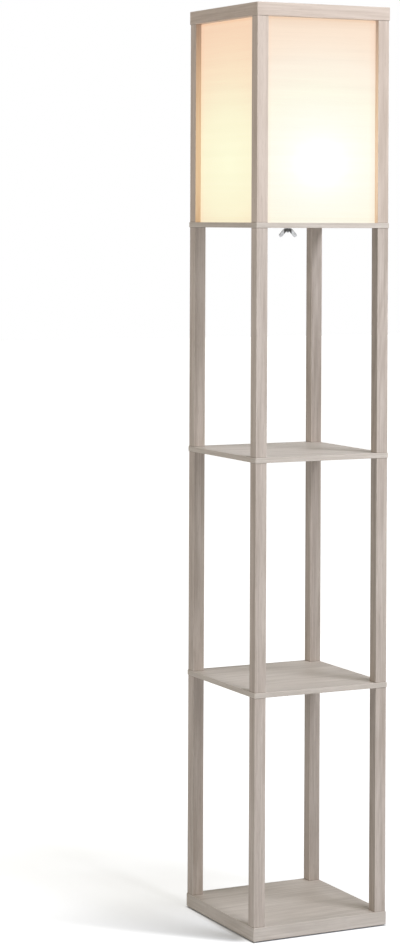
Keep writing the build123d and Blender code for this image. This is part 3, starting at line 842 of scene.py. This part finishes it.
def combine(piece, bm, operation):
    """Join a closed form to a piece, or cut it out of the piece.

    The work is done a thousand times as large and near the origin, where it is most exact.
    """
    grown = Matrix.Scale(1000, 4) @ Matrix.Translation((0, 0, -lamp_floor))
    mesh = bpy.data.meshes.new("tool")
    bm.to_mesh(mesh)
    bm.free()
    mesh.transform(grown)
    piece.data.transform(grown)
    tool = bpy.data.objects.new("tool", mesh)
    bpy.context.scene.collection.objects.link(tool)
    step = piece.modifiers.new("combine", "BOOLEAN")
    step.operation = operation
    step.solver = "MANIFOLD"
    step.object = tool
    bake_modifiers(piece)
    piece.data.transform(grown.inverted())
    bpy.data.objects.remove(tool)
    bpy.data.meshes.remove(mesh)


def moved(bm, turn=None, offset=None):
    """Turn and then shift a whole form."""
    if turn is not None:
        bmesh.ops.rotate(bm, matrix=turn, verts=bm.verts)
    if offset is not None:
        bmesh.ops.translate(bm, vec=offset, verts=bm.verts)
    return bm


def hexagon(corner, high):
    """A closed hexagonal bar about the Z axis, with two of its corners along X."""
    bm = bmesh.new()
    bmesh.ops.create_cone(
        bm, cap_ends=True, segments=6, radius1=corner, radius2=corner, depth=high
    )
    return moved(bm, Matrix.Rotation(pi / 6, 3, "Z"))


def rod(radius, start, end, steps=48):
    """A closed round bar between two points."""
    start, end = Vector(start), Vector(end)
    run = end - start
    bm = bmesh.new()
    bmesh.ops.create_cone(
        bm, cap_ends=True, segments=steps, radius1=radius, radius2=radius, depth=run.length
    )
    # a small twist keeps its edges off the edges of the turned forms that it cuts
    twist = Matrix.Rotation(0.02, 3, "Z")
    turn = run.to_track_quat("Z", "Y").to_matrix()
    return moved(bm, turn @ twist, (start + end) / 2)


# ---------------------------------------------------------- plain finishes
def metal_finish(name, tone, rough, scratch=0.5):
    """Plated or bare metal with faint cloudy stains and fine scratches."""
    finish = Finish(name)
    place = finish.object_point()
    clouds = finish.noise(place, scale=160, detail=3)
    lines = finish.noise(finish.scaled(place, (900, 900, 9000)), detail=2)
    finish.set(
        Base_Color=finish.tint(tone, (0.80, 0.79, 0.77), finish.remap(clouds, 0.35, 0.7)),
        Roughness=finish.remap(clouds, 0.3, 0.7, rough - 0.06, rough + 0.10),
        Metallic=1.0,
    )
    finish.bump(lines, 0.01 * mm, scratch)
    return finish.material


def moulded_finish(name, tone, rough, grain=0.02 * mm, size=1400):
    """Moulded plastic with a fine sparked skin."""
    finish = Finish(name)
    place = finish.object_point()
    skin = finish.noise(place, scale=size, detail=2)
    clouds = finish.noise(place, scale=45, detail=2)
    finish.set(
        Base_Color=finish.tint(tone, (0.86, 0.86, 0.86), finish.remap(clouds, 0.35, 0.65)),
        Roughness=finish.remap(skin, 0.3, 0.7, rough - 0.05, rough + 0.07),
    )
    finish.bump(skin, grain, 0.6)
    return finish.material


def grainy_finish(name, scale, tones, rough, deep, low=0.0, high=1.0):
    """A finish of two tones that one fine noise mixes, between two of its values."""
    finish = Finish(name)
    grains = finish.noise(finish.object_point(), scale=scale, detail=1)
    tone = finish.mix(finish.remap(grains, low, high), *tones)
    finish.set(Base_Color=tone, Roughness=rough)
    finish.bump(grains, deep, 0.5)
    return finish.material


# -------------------------------------------------------------- small parts
class LAMP_OT_hardware(Operator):
    """Finish the screws, studs, inserts, keys and caps, and mould the foot pads"""

    bl_idname = "lamp.hardware"
    bl_label = "Hardware"

    def execute(self, context):
        settings = context.scene.lamp
        steel = metal_finish("zinc_steel", settings.holder.zinc, 0.34)
        paint(steel, "base_bolts", "base_washers", "post_inserts", "shelf_studs")
        paint(steel, "top_frame_screws", "cord_clamp_screw")
        # the screw caps take the shade's glow as painted light too
        caps = wood_finish(settings.wood, "cap_print", "X", settings.wood.painted_shade_glow)
        paint(caps, "top_screw_caps")
        paint(self.hardwood(), "corner_keys")
        self.add_pads()
        return {"FINISHED"}

    def hardwood(self):
        """Beech, with its fine dark flecks."""
        finish = Finish("beech")
        place = finish.object_point()
        grain = finish.noise(finish.scaled(place, (300, 300, 25)), detail=3)
        flecks = finish.noise(finish.scaled(place, (2600, 2600, 420)), detail=1)
        tone = finish.mix(finish.remap(grain, 0.3, 0.7), (0.66, 0.45, 0.27), (0.50, 0.31, 0.17))
        tone = finish.tint(tone, (0.7, 0.6, 0.5), finish.remap(flecks, 0.6, 0.7, 0.0, 0.6))
        finish.set(Base_Color=tone, Roughness=0.62)
        finish.bump(grain, 0.05 * mm, 0.4)
        return finish.material

    def add_pads(self):
        """Four round rubber pads with two grooved rings underneath."""
        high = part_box("foot_pads")[1]
        radius = 11 * mm
        centre = high.x - radius
        bevel = 0.6 * mm
        ring_deep = 0.4 * mm
        outline = [(0, high.z), (radius, high.z), (radius, bevel), (radius - bevel, 0)]
        for ring in (8 * mm, 5 * mm):
            outline += [
                (ring + 0.5 * mm, 0),
                (ring + 0.3 * mm, ring_deep),
                (ring - 0.3 * mm, ring_deep),
                (ring - 0.5 * mm, 0),
            ]
        outline.append((0, 0))
        bm = lathe(outline, steps=64)
        first = bm.verts[:] + bm.edges[:] + bm.faces[:]
        for side_x, side_y in ((-1, -1), (1, -1), (-1, 1)):
            spots = verts_of(bmesh.ops.duplicate(bm, geom=first)["geom"])
            bmesh.ops.translate(bm, vec=(side_x * centre, side_y * centre, 0), verts=spots)
        bmesh.ops.translate(bm, vec=(centre, centre, 0), verts=verts_of(first))
        rubber = moulded_finish("pad_rubber", (0.045, 0.042, 0.040), 0.82, 0.05 * mm, 700)
        stand_in(add_piece("rubber_pads", bm, rubber, "stand"), "foot_pads", 50)


# --------------------------------------------------------------- lampholder
class LAMP_OT_holder(Operator):
    """Model the lampholder: foot, ribbed barrel, threaded shell and their screws"""

    bl_idname = "lamp.holder"
    bl_label = "Lampholder"

    def execute(self, context):
        holder = context.scene.lamp.holder
        bulb = context.scene.lamp.bulb
        black = moulded_finish("holder_black", holder.black, 0.40)
        brass = metal_finish("contact_brass", holder.brass, 0.30)
        cream = ((0.80, 0.77, 0.71), (0.52, 0.46, 0.38))
        ceramic = grainy_finish("core_ceramic", 2200, cream, 0.55, 0.03 * mm, 0.62, 0.72)
        self.add_foot(black)
        self.add_barrel(black, holder)
        self.add_shell(brass, bulb)
        paint(brass, "centre_contact", "terminal_screws")
        paint(ceramic, "holder_core")
        self.add_bolt(metal_finish("bolt_zinc", holder.zinc, 0.30))
        self.add_washer(metal_finish("washer_zinc", holder.zinc, 0.30))
        return {"FINISHED"}

    def add_foot(self, black):
        """A turned foot with a cord entry, a cavity, and a recess and a hole for the bolt."""
        low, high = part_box("holder_base")
        body_low, body_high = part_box("holder_body")
        rim, barrel = high.x, body_high.x
        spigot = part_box("holder_core")[1].x
        wall, over = 2 * mm, 2 * mm
        rim_top = low.z + 2.5 * mm
        floor_top = low.z + 5 * mm
        bevel, fillet = 1 * mm, 1.2 * mm
        outline = [
            (0, low.z),
            (rim, low.z),
            (rim, rim_top - bevel),
            (rim - bevel, rim_top),
            (barrel + fillet, rim_top),
            (barrel, rim_top + fillet),
            (barrel, body_low.z),
            (spigot, body_low.z),
            (spigot, high.z),
            (0, high.z),
        ]
        form = lathe(outline, ease=0.4 * mm)
        foot = add_piece("lampholder_foot", form, black, "stand")
        self.add_snout(foot, high.y, spigot - wall)
        cavity = [
            (0, floor_top),
            (spigot - wall, floor_top),
            (spigot - wall, high.z + over),
            (0, high.z + over),
        ]
        combine(foot, lathe(cavity), "DIFFERENCE")
        head_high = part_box("holder_bolt")[1].z - low.z
        recess_corner, bolt_bore = 5.95 * mm, 3.3 * mm
        recess = hexagon(recess_corner, 2 * head_high)
        combine(foot, moved(recess, offset=(0, 0, rim_top + head_high)), "DIFFERENCE")
        bolt_hole = rod(bolt_bore, (0, 0, low.z - over), (0, 0, floor_top + over))
        combine(foot, bolt_hole, "DIFFERENCE")
        stand_in(foot, "holder_base")

    def add_snout(self, foot, mouth, inner):
        """Grow the cord entry out of the hub, with its bore and its clamp screw's hole."""
        axis_up = lamp_floor + 11 * mm
        lip, over = 2 * mm, 2 * mm
        outer, bore, screw_bore = 6.2 * mm, 3.6 * mm, 1.6 * mm
        waist = outer - 0.7 * mm
        sleeve = [
            (0, inner - over),
            (waist, inner - over),
            (waist, mouth - lip),
            (outer, mouth - lip + 0.5 * mm),
            (outer, mouth - 0.4 * mm),
            (outer - 0.4 * mm, mouth),
            (0, mouth),
        ]
        along_y = Matrix.Rotation(-pi / 2, 3, "X")
        combine(foot, moved(lathe(sleeve), along_y, (0, 0, axis_up)), "UNION")
        hollow = rod(bore, (0, inner - 2 * over, axis_up), (0, mouth + over, axis_up))
        combine(foot, hollow, "DIFFERENCE")
        low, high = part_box("cord_clamp_screw")
        middle = (low.y + high.y) / 2
        screw_hole = rod(screw_bore, (0, middle, axis_up), (0, middle, high.z + over), 24)
        combine(foot, screw_hole, "DIFFERENCE")

    def add_barrel(self, black, holder):
        """A tube with a ribbed grip in a waist, and a lip over the screw shell."""
        low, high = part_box("holder_body")
        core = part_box("holder_core")[1]
        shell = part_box("screw_shell")[1]
        outer = high.x
        waist = outer - 0.5 * mm
        fit = 0.2 * mm
        rim = 1.2 * mm
        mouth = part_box("bulb_cap")[1].x + 1.5 * mm
        grip_low, grip_high = low.z + 6 * mm, high.z - 8 * mm
        slope_end, shoulder = 1.5 * mm, 2 * mm
        grip = [
            (waist, end + aside)
            for end in (grip_low, grip_high)
            for aside in (-slope_end, 0, slope_end)
        ]
        outline = [
            (core.x + fit, low.z),
            (outer, low.z),
            (outer, grip_low - shoulder),
            *grip,
            (outer, grip_high + shoulder),
            (outer, high.z - rim),
            (outer - rim, high.z),
            (mouth, high.z),
            (mouth, shell.z),
            (shell.x + fit, shell.z),
            (shell.x + fit, core.z),
            (core.x + fit, core.z),
        ]
        bm = lathe(outline, steps=holder.ribs * 6)
        clear = 1 * mm
        for vert in bm.verts:
            radius = vert.co.xy.length
            in_grip = grip_low + clear < vert.co.z < grip_high - clear
            if in_grip and radius > core.x + clear:
                turn = atan2(vert.co.y, vert.co.x) / (2 * pi)
                vert.co.xy *= 1 - holder.rib_deep * ripple(holder.ribs * turn) / radius
        barrel = add_piece("lampholder_barrel", bm, black, "stand")
        edge = barrel.modifiers.new("edges", "BEVEL")
        edge.width = 0.3 * mm
        edge.segments = 2
        edge.limit_method = "ANGLE"
        edge.angle_limit = radians(50)
        stand_in(barrel, "holder_body", 50)

    def add_shell(self, brass, bulb):
        """A threaded sleeve with a flange inside its foot."""
        low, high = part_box("screw_shell")
        wall, fade, flange = 0.4 * mm, 2.5 * mm, 3 * mm
        outer = high.x
        spacing = bulb.thread_pitch / thread_rows
        outline = rows(outer, low.z, high.z, spacing)
        outline += reversed(rows(outer - wall, low.z + wall, high.z, spacing))
        outline += [(outer - flange, low.z + wall), (outer - flange, low.z)]
        bm = lathe(outline)

        def wave(height, phase):
            ends = smoothstep(height, low.z + wall, low.z + fade)
            ends *= 1 - smoothstep(height, high.z - fade, high.z - wall)
            return ends * ripple(phase)

        roll_thread(bm, bulb.thread_pitch, bulb.thread_deep, wave, outer - 1 * mm)
        shell = add_piece("threaded_shell", bm, brass, "stand")
        stand_in(shell, "screw_shell", 60)

    def add_bolt(self, zinc):
        """A threaded shank, joined to a crowned head that is cut to six sides."""
        low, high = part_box("holder_bolt")
        shank, pitch = 3 * mm, 1 * mm
        point, runout = 0.7 * mm, 2 * pitch
        thread_top = lamp_floor - 4 * mm
        head_low = high.z - 4 * mm
        into_head = head_low + 0.5 * mm
        outline = [(0, low.z), (shank - point, low.z)]
        outline += rows(shank, low.z + 0.6 * mm, thread_top, pitch / 8)
        outline += [(shank, into_head), (0, into_head)]
        bm = lathe(outline, steps=48)

        def notch(height, phase):
            fade = 1 - smoothstep(height, thread_top - runout, thread_top)
            return fade * abs(2 * phase - 1)

        roll_thread(bm, pitch, 0.61 * mm, notch, shank - 0.2 * mm)
        bolt = add_piece("threaded_bolt", bm, zinc, "stand")
        corner, crown = 5.77 * mm, 0.5 * mm
        head = [
            (0, head_low),
            (corner - crown, head_low),
            (corner, head_low + crown / 2),
            (corner, high.z - crown),
            (corner - 1.6 * crown, high.z),
            (0, high.z),
        ]
        flats = moved(hexagon(corner, 2 * (high.z - head_low)), offset=(0, 0, head_low))
        blank = add_piece("bolt_head", lathe(head), zinc, "stand")
        combine(blank, flats, "INTERSECT")
        bm = bmesh.new()
        bm.from_mesh(blank.data)
        bpy.data.objects.remove(blank)
        combine(bolt, bm, "UNION")
        stand_in(bolt, "holder_bolt", 40)

    def add_washer(self, zinc):
        """A flat ring with eased edges."""
        low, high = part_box("clamp_washer")
        bore = 3.2 * mm
        outline = [(bore, low.z), (high.x, low.z), (high.x, high.z), (bore, high.z)]
        form = lathe(outline, ease=0.15 * mm)
        stand_in(add_piece("punched_washer", form, zinc, "washer"), "clamp_washer")


# ------------------------------------------------------------------ wing nut
wing_turn = radians(-28)


class LAMP_OT_wing_nut(Operator):
    """Model the cast wing nut under the lamp board"""

    bl_idname = "lamp.wing_nut"
    bl_label = "Wing nut"

    def execute(self, context):
        settings = context.scene.lamp.nut
        low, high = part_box("wing_nut")
        hub_high, hub_top, hub_bottom, bore = 5 * mm, 6.1 * mm, 5.3 * mm, 3.15 * mm
        hub_low = high.z - hub_high
        outline = [(0, hub_low), (hub_bottom, hub_low), (hub_top, high.z), (0, high.z)]
        hub = lathe(outline)
        nut = add_piece("cast_wing_nut", hub, self.zinc(settings), "wing_nut")
        for turn in (wing_turn, wing_turn + pi):
            combine(nut, self.wing(high.z, turn), "UNION")
        blend = nut.modifiers.new("blend", "REMESH")
        blend.mode = "VOXEL"
        blend.voxel_size = settings.voxel
        soften = nut.modifiers.new("soften", "SMOOTH")
        soften.factor = 0.5
        soften.iterations = 6
        bake_modifiers(nut)
        combine(nut, rod(bore, (0, 0, low.z), (0, 0, high.z + hub_high)), "DIFFERENCE")
        stand_in(nut, "wing_nut", 50)
        return {"FINISHED"}

    def wing(self, top, turn):
        """A rounded blade that slopes down and out from the hub."""
        root, tip = Vector((5.6 * mm, 0, -3.6 * mm)), Vector((12.4 * mm, 0, -11.9 * mm))
        half_wide, thick = 3.3 * mm, 2.4 * mm
        rim_angle = 1.2
        run = tip - root
        bm = bmesh.new()
        bmesh.ops.create_circle(bm, cap_ends=True, segments=48, radius=half_wide)
        tip_half = [vert for vert in bm.verts if vert.co.x > 0]
        bmesh.ops.translate(bm, vec=(run.length, 0, 0), verts=tip_half)
        grown = bmesh.ops.extrude_face_region(bm, geom=bm.faces[:])["geom"]
        bmesh.ops.translate(bm, vec=(0, 0, thick), verts=verts_of(grown))
        bmesh.ops.translate(bm, vec=(0, 0, -thick / 2), verts=bm.verts)
        bmesh.ops.recalc_face_normals(bm, faces=bm.faces)
        bmesh.ops.bevel(
            bm,
            geom=[edge for edge in bm.edges if edge.calc_face_angle(0) > rim_angle],
            offset=0.8 * mm,
            offset_type="OFFSET",
            segments=4,
            profile=0.5,
            affect="EDGES",
            material=-1,
        )
        upright = Matrix.Rotation(pi / 2, 3, "X")
        slope = Matrix.Rotation(atan2(-run.z, run.x), 3, "Y")
        moved(bm, slope @ upright, (root.x, 0, root.z + top))
        return moved(bm, Matrix.Rotation(turn, 3, "Z"))

    def zinc(self, settings):
        """Bright plating over a casting, dark on hub and rims: painted shade and reflection, some
        soiling.
        """
        finish = Finish("bright_zinc")
        place = finish.object_point()
        cast = finish.noise(place, scale=1500, detail=3)
        clouds = finish.noise(place, scale=220, detail=3)
        # painted dark reflection round the wings' rims, where their faces turn from the flats
        blade_side = (-sin(wing_turn), cos(wing_turn), 0)
        squarely = finish.vector_math("DOT_PRODUCT", finish.object_normal(), blade_side)["Value"]
        rim = finish.remap(finish.math("ABSOLUTE", squarely), 0.55, 0.90, 0.85, 0.0)
        # painted shade and dark reflection over the whole hub
        x, y, _ = finish.split(place)
        radius = finish.math("SQRT", finish.squares(x, y))
        hub = finish.remap(radius, 6.2 * mm, 7.2 * mm, 0.92, 0.0)
        dark_reflection_and_grime = finish.math("MAXIMUM", rim, hub)
        tone = finish.tint(settings.zinc, (0.8, 0.8, 0.8), finish.remap(clouds, 0.35, 0.7))
        finish.set(
            Base_Color=finish.mix(dark_reflection_and_grime, tone, settings.grime_and_dark_reflection),
            Roughness=finish.remap(clouds, 0.3, 0.7, 0.22, 0.38),
            Metallic=finish.math("SUBTRACT", 1.0, finish.math("MULTIPLY", dark_reflection_and_grime, 0.7)),
        )
        finish.bump(cast, 0.03 * mm, 0.5)
        return finish.material


# --------------------------------------------------------------------- bulb
class LAMP_OT_bulb(Operator):
    """Model the bulb: threaded cap, glass insulator, contact, collar, globe and boards"""

    bl_idname = "lamp.bulb"
    bl_label = "Bulb"

    def execute(self, context):
        bulb = context.scene.lamp.bulb
        self.add_cap(bulb)
        self.add_insulator()
        self.add_contact()
        self.add_collar()
        self.add_globe(bulb)
        yellow = ((0.95, 0.72, 0.10), (0.98, 0.86, 0.30))
        paint(grainy_finish("chip_phosphor", 5000, yellow, 0.45, 0.02 * mm), "bulb_led_chips")
        paint(self.led_board(), "bulb_led_board")
        paint(self.driver_board(), "bulb_driver_board")
        return {"FINISHED"}

    def add_cap(self, bulb):
        """A threaded cup with a rolled foot, plain above the screw shell."""
        low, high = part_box("bulb_cap")
        shell_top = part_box("screw_shell")[1].z
        outer = high.x
        wall, roll, plain_end = 0.5 * mm, 1.6 * mm, 3 * mm
        spacing = bulb.thread_pitch / thread_rows
        bend_steps = 5

        def bend(radius):
            for step in range(bend_steps + 1):
                turn = step * pi / 2 / bend_steps
                yield (outer - roll + radius * sin(turn), low.z + roll - radius * cos(turn))

        outline = list(bend(roll)) + rows(outer, low.z + roll, high.z, spacing)[1:]
        outline += reversed(rows(outer - wall, low.z + roll, high.z, spacing))
        outline += list(bend(roll - wall))[-2::-1]
        bm = lathe(outline)

        def wave(height, phase):
            start = smoothstep(height, low.z + roll, low.z + 2 * roll)
            end = 1 - smoothstep(height, shell_top, shell_top + plain_end)
            return end * (1 - start + start * ripple(phase))

        roll_thread(bm, bulb.thread_pitch, bulb.thread_deep, wave, 0)
        nickel = metal_finish("cap_nickel", (0.72, 0.70, 0.66), 0.26)
        stand_in(add_piece("threaded_cap", bm, nickel, "bulb"), "bulb_cap", 60)

    def add_insulator(self):
        """Black glass that curves up from the contact to the cap."""
        low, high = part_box("bulb_insulator")
        seat, rim = 5.2 * mm, 10.6 * mm
        outline = [
            (0, low.z),
            (seat, low.z),
            (6.4 * mm, low.z + 0.6 * mm),
            (8.4 * mm, low.z + 1.9 * mm),
            (9.9 * mm, low.z + 3.2 * mm),
            (rim, low.z + 4.0 * mm),
            (rim, high.z),
            (0, high.z),
        ]
        glass = Finish("insulator_glass")
        swirl = glass.noise(glass.object_point(), scale=300, detail=2)
        tone = glass.mix(swirl, (0.008, 0.008, 0.010), (0.030, 0.028, 0.030))
        glass.set(Base_Color=tone, Roughness=0.12, Coat_Weight=0.3)
        glass.bump(swirl, 0.05 * mm, 0.4)
        form = lathe(outline)
        insulator = add_piece("glass_insulator", form, glass.material, "bulb")
        stand_in(insulator, "bulb_insulator", 50)

    def add_contact(self):
        """A domed drop of solder."""
        low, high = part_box("bulb_contact")
        radius = high.x
        outline = [
            (0, low.z),
            (radius * 0.45, low.z + 0.02 * mm),
            (radius * 0.70, low.z + 0.12 * mm),
            (radius * 0.88, low.z + 0.38 * mm),
            (radius, low.z + 0.8 * mm),
            (radius, high.z),
            (0, high.z),
        ]
        solder = metal_finish("contact_solder", (0.66, 0.65, 0.63), 0.36)
        form = lathe(outline)
        contact = add_piece("solder_contact", form, solder, "bulb_tip")
        stand_in(contact, "bulb_contact", 60)

    def add_collar(self):
        """A hollow shell that swells from the cap to the globe, round a thin neck in the cap."""
        low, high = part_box("bulb_collar")
        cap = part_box("bulb_cap")[1]
        rim, root = high.x, 13.6 * mm
        neck_outer, neck_inner = 11.35 * mm, 10.85 * mm
        wall, seat = 1.6 * mm, 2 * mm
        steps_up = 24

        def swelling(share):
            return smoothstep(share, -0.35, 1.22) ** 1.15

        least, most = swelling(0), swelling(1)
        flare, inside = [], []
        for step in range(steps_up + 1):
            share = step / steps_up
            radius = root + (rim - root) * (swelling(share) - least) / (most - least)
            height = cap.z + share * (high.z - cap.z)
            flare.append((radius, height))
            if height < high.z - seat:
                inside.append((max(neck_inner, radius - wall - seat * share), height))
        outline = [
            *flare,
            (rim - wall, high.z),
            (rim - wall, high.z - seat),
            (rim - wall - seat, high.z - seat),
            *reversed(inside),
            (neck_inner, low.z),
            (neck_outer, low.z),
            (neck_outer, cap.z),
        ]
        white = moulded_finish("collar_white", (0.82, 0.82, 0.80), 0.42)
        collar = add_piece("bulb_shell", lathe(outline), white, "bulb")
        stand_in(collar, "bulb_collar", 40)

    def add_globe(self, bulb):
        """An opal ball, open where it sits in the collar, brightest at its top."""
        low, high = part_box("bulb_globe")
        radius = high.x
        centre = high.z - radius
        wall = 1.2 * mm
        rings = 28

        def arc(reach):
            edge = atan2(low.z - centre, (reach**2 - (low.z - centre) ** 2) ** 0.5)
            for ring in range(rings + 1):
                turn = edge + (pi / 2 - edge) * ring / rings
                yield (reach * max(0.0, cos(turn)), centre + reach * sin(turn))

        outline = list(arc(radius - wall))[::-1] + list(arc(radius))
        bm = lathe(outline)
        finish = Finish("globe_opal")
        place = finish.object_point()
        height = finish.remap(finish.split(place)[2], low.z, high.z, smooth=True)
        frost = finish.noise(place, scale=120, detail=2)
        glow = finish.tint(bulb.light, (0.72, 0.62, 0.50), finish.math("SUBTRACT", 1.0, height))
        finish.set(
            Base_Color=(0.86, 0.85, 0.82),
            Emission_Color=finish.tint(glow, (0.95, 0.95, 0.95), finish.remap(frost, 0.35, 0.65)),
            Emission_Strength=bulb.glow,
            Roughness=0.30,
        )
        globe = add_piece("opal_globe", bm, finish.material, "bulb")
        stand_in(globe, "bulb_globe", 50)

    def led_board(self):
        """White solder mask over an aluminium core, with a copper track round the chips."""
        finish = Finish("led_board")
        place = finish.object_point()
        x, y, z = finish.split(place)
        radius = finish.math("SQRT", finish.squares(x, y))
        track = finish.line(radius, 16 * mm, 0.5 * mm, 0.7 * mm, smooth=False)
        track = finish.math("MULTIPLY", track, 0.5)
        mask = finish.mix(track, (0.84, 0.84, 0.80), (0.70, 0.66, 0.52))
        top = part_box("bulb_led_board")[1].z
        upper = finish.math("GREATER_THAN", z, top - 0.1 * mm)
        finish.set(
            Base_Color=finish.mix(upper, (0.62, 0.63, 0.65), mask),
            Metallic=finish.math("SUBTRACT", 1.0, upper),
            Roughness=0.42,
        )
        finish.bump(finish.noise(place, scale=1800, detail=2), 0.02 * mm, 0.4)
        return finish.material

    def driver_board(self):
        """Green board with copper tracks, and the sleeved capacitor on its face."""
        finish = Finish("driver_board")
        x, y, z = finish.split(finish.object_point())
        off = finish.math("ABSOLUTE", y)
        half_thick, sleeve_end = 0.81 * mm, 8.7 * mm
        tracks = finish.node("TexBrick")
        finish.link(finish.join(z, x, 0.0), tracks.inputs["Vector"])
        tracks.inputs["Scale"].default_value = 260
        tracks.inputs["Mortar Size"].default_value = 0.035
        tracks.inputs["Color1"].default_value = (0.02, 0.16, 0.06, 1)
        tracks.inputs["Color2"].default_value = (0.03, 0.20, 0.08, 1)
        tracks.inputs["Mortar"].default_value = (0.10, 0.34, 0.14, 1)
        on_end = finish.math("GREATER_THAN", off, sleeve_end)
        sleeve = finish.mix(on_end, (0.02, 0.02, 0.025), (0.66, 0.67, 0.68))
        on_board = finish.math("LESS_THAN", off, half_thick)
        tone = finish.mix(on_board, sleeve, tracks.outputs["Color"])
        finish.set(Base_Color=tone, Roughness=0.38)
        finish.bump(tracks.outputs["Fac"], 0.03 * mm, 0.5)
        return finish.material


# -------------------------------------------------------------- registering
steps = (
    LAMP_OT_stage,
    LAMP_OT_wood,
    LAMP_OT_shade,
    LAMP_OT_hardware,
    LAMP_OT_holder,
    LAMP_OT_wing_nut,
    LAMP_OT_bulb,
)


class LAMP_PT_panel(Panel):
    """Lists the steps that dress the lamp"""

    bl_label = "Shelf floor lamp"
    bl_idname = "LAMP_PT_panel"
    bl_space_type = "VIEW_3D"
    bl_region_type = "UI"
    bl_category = "Lamp"

    def draw(self, context):
        for step in steps:
            self.layout.operator(step.bl_idname)


classes = (
    StageSettings,
    WoodSettings,
    ShadeSettings,
    HolderSettings,
    NutSettings,
    BulbSettings,
    LampSettings,
    *steps,
    LAMP_PT_panel,
)


def register():
    for made in classes:
        bpy.utils.register_class(made)
    bpy.types.Scene.lamp = PointerProperty(type=LampSettings)


def unregister():
    del bpy.types.Scene.lamp
    for made in reversed(classes):
        bpy.utils.unregister_class(made)


def main():
    register()
    for step in steps:
        group, name = step.bl_idname.split(".")
        getattr(getattr(bpy.ops, group), name)()


if __name__ == "__main__":
    main()
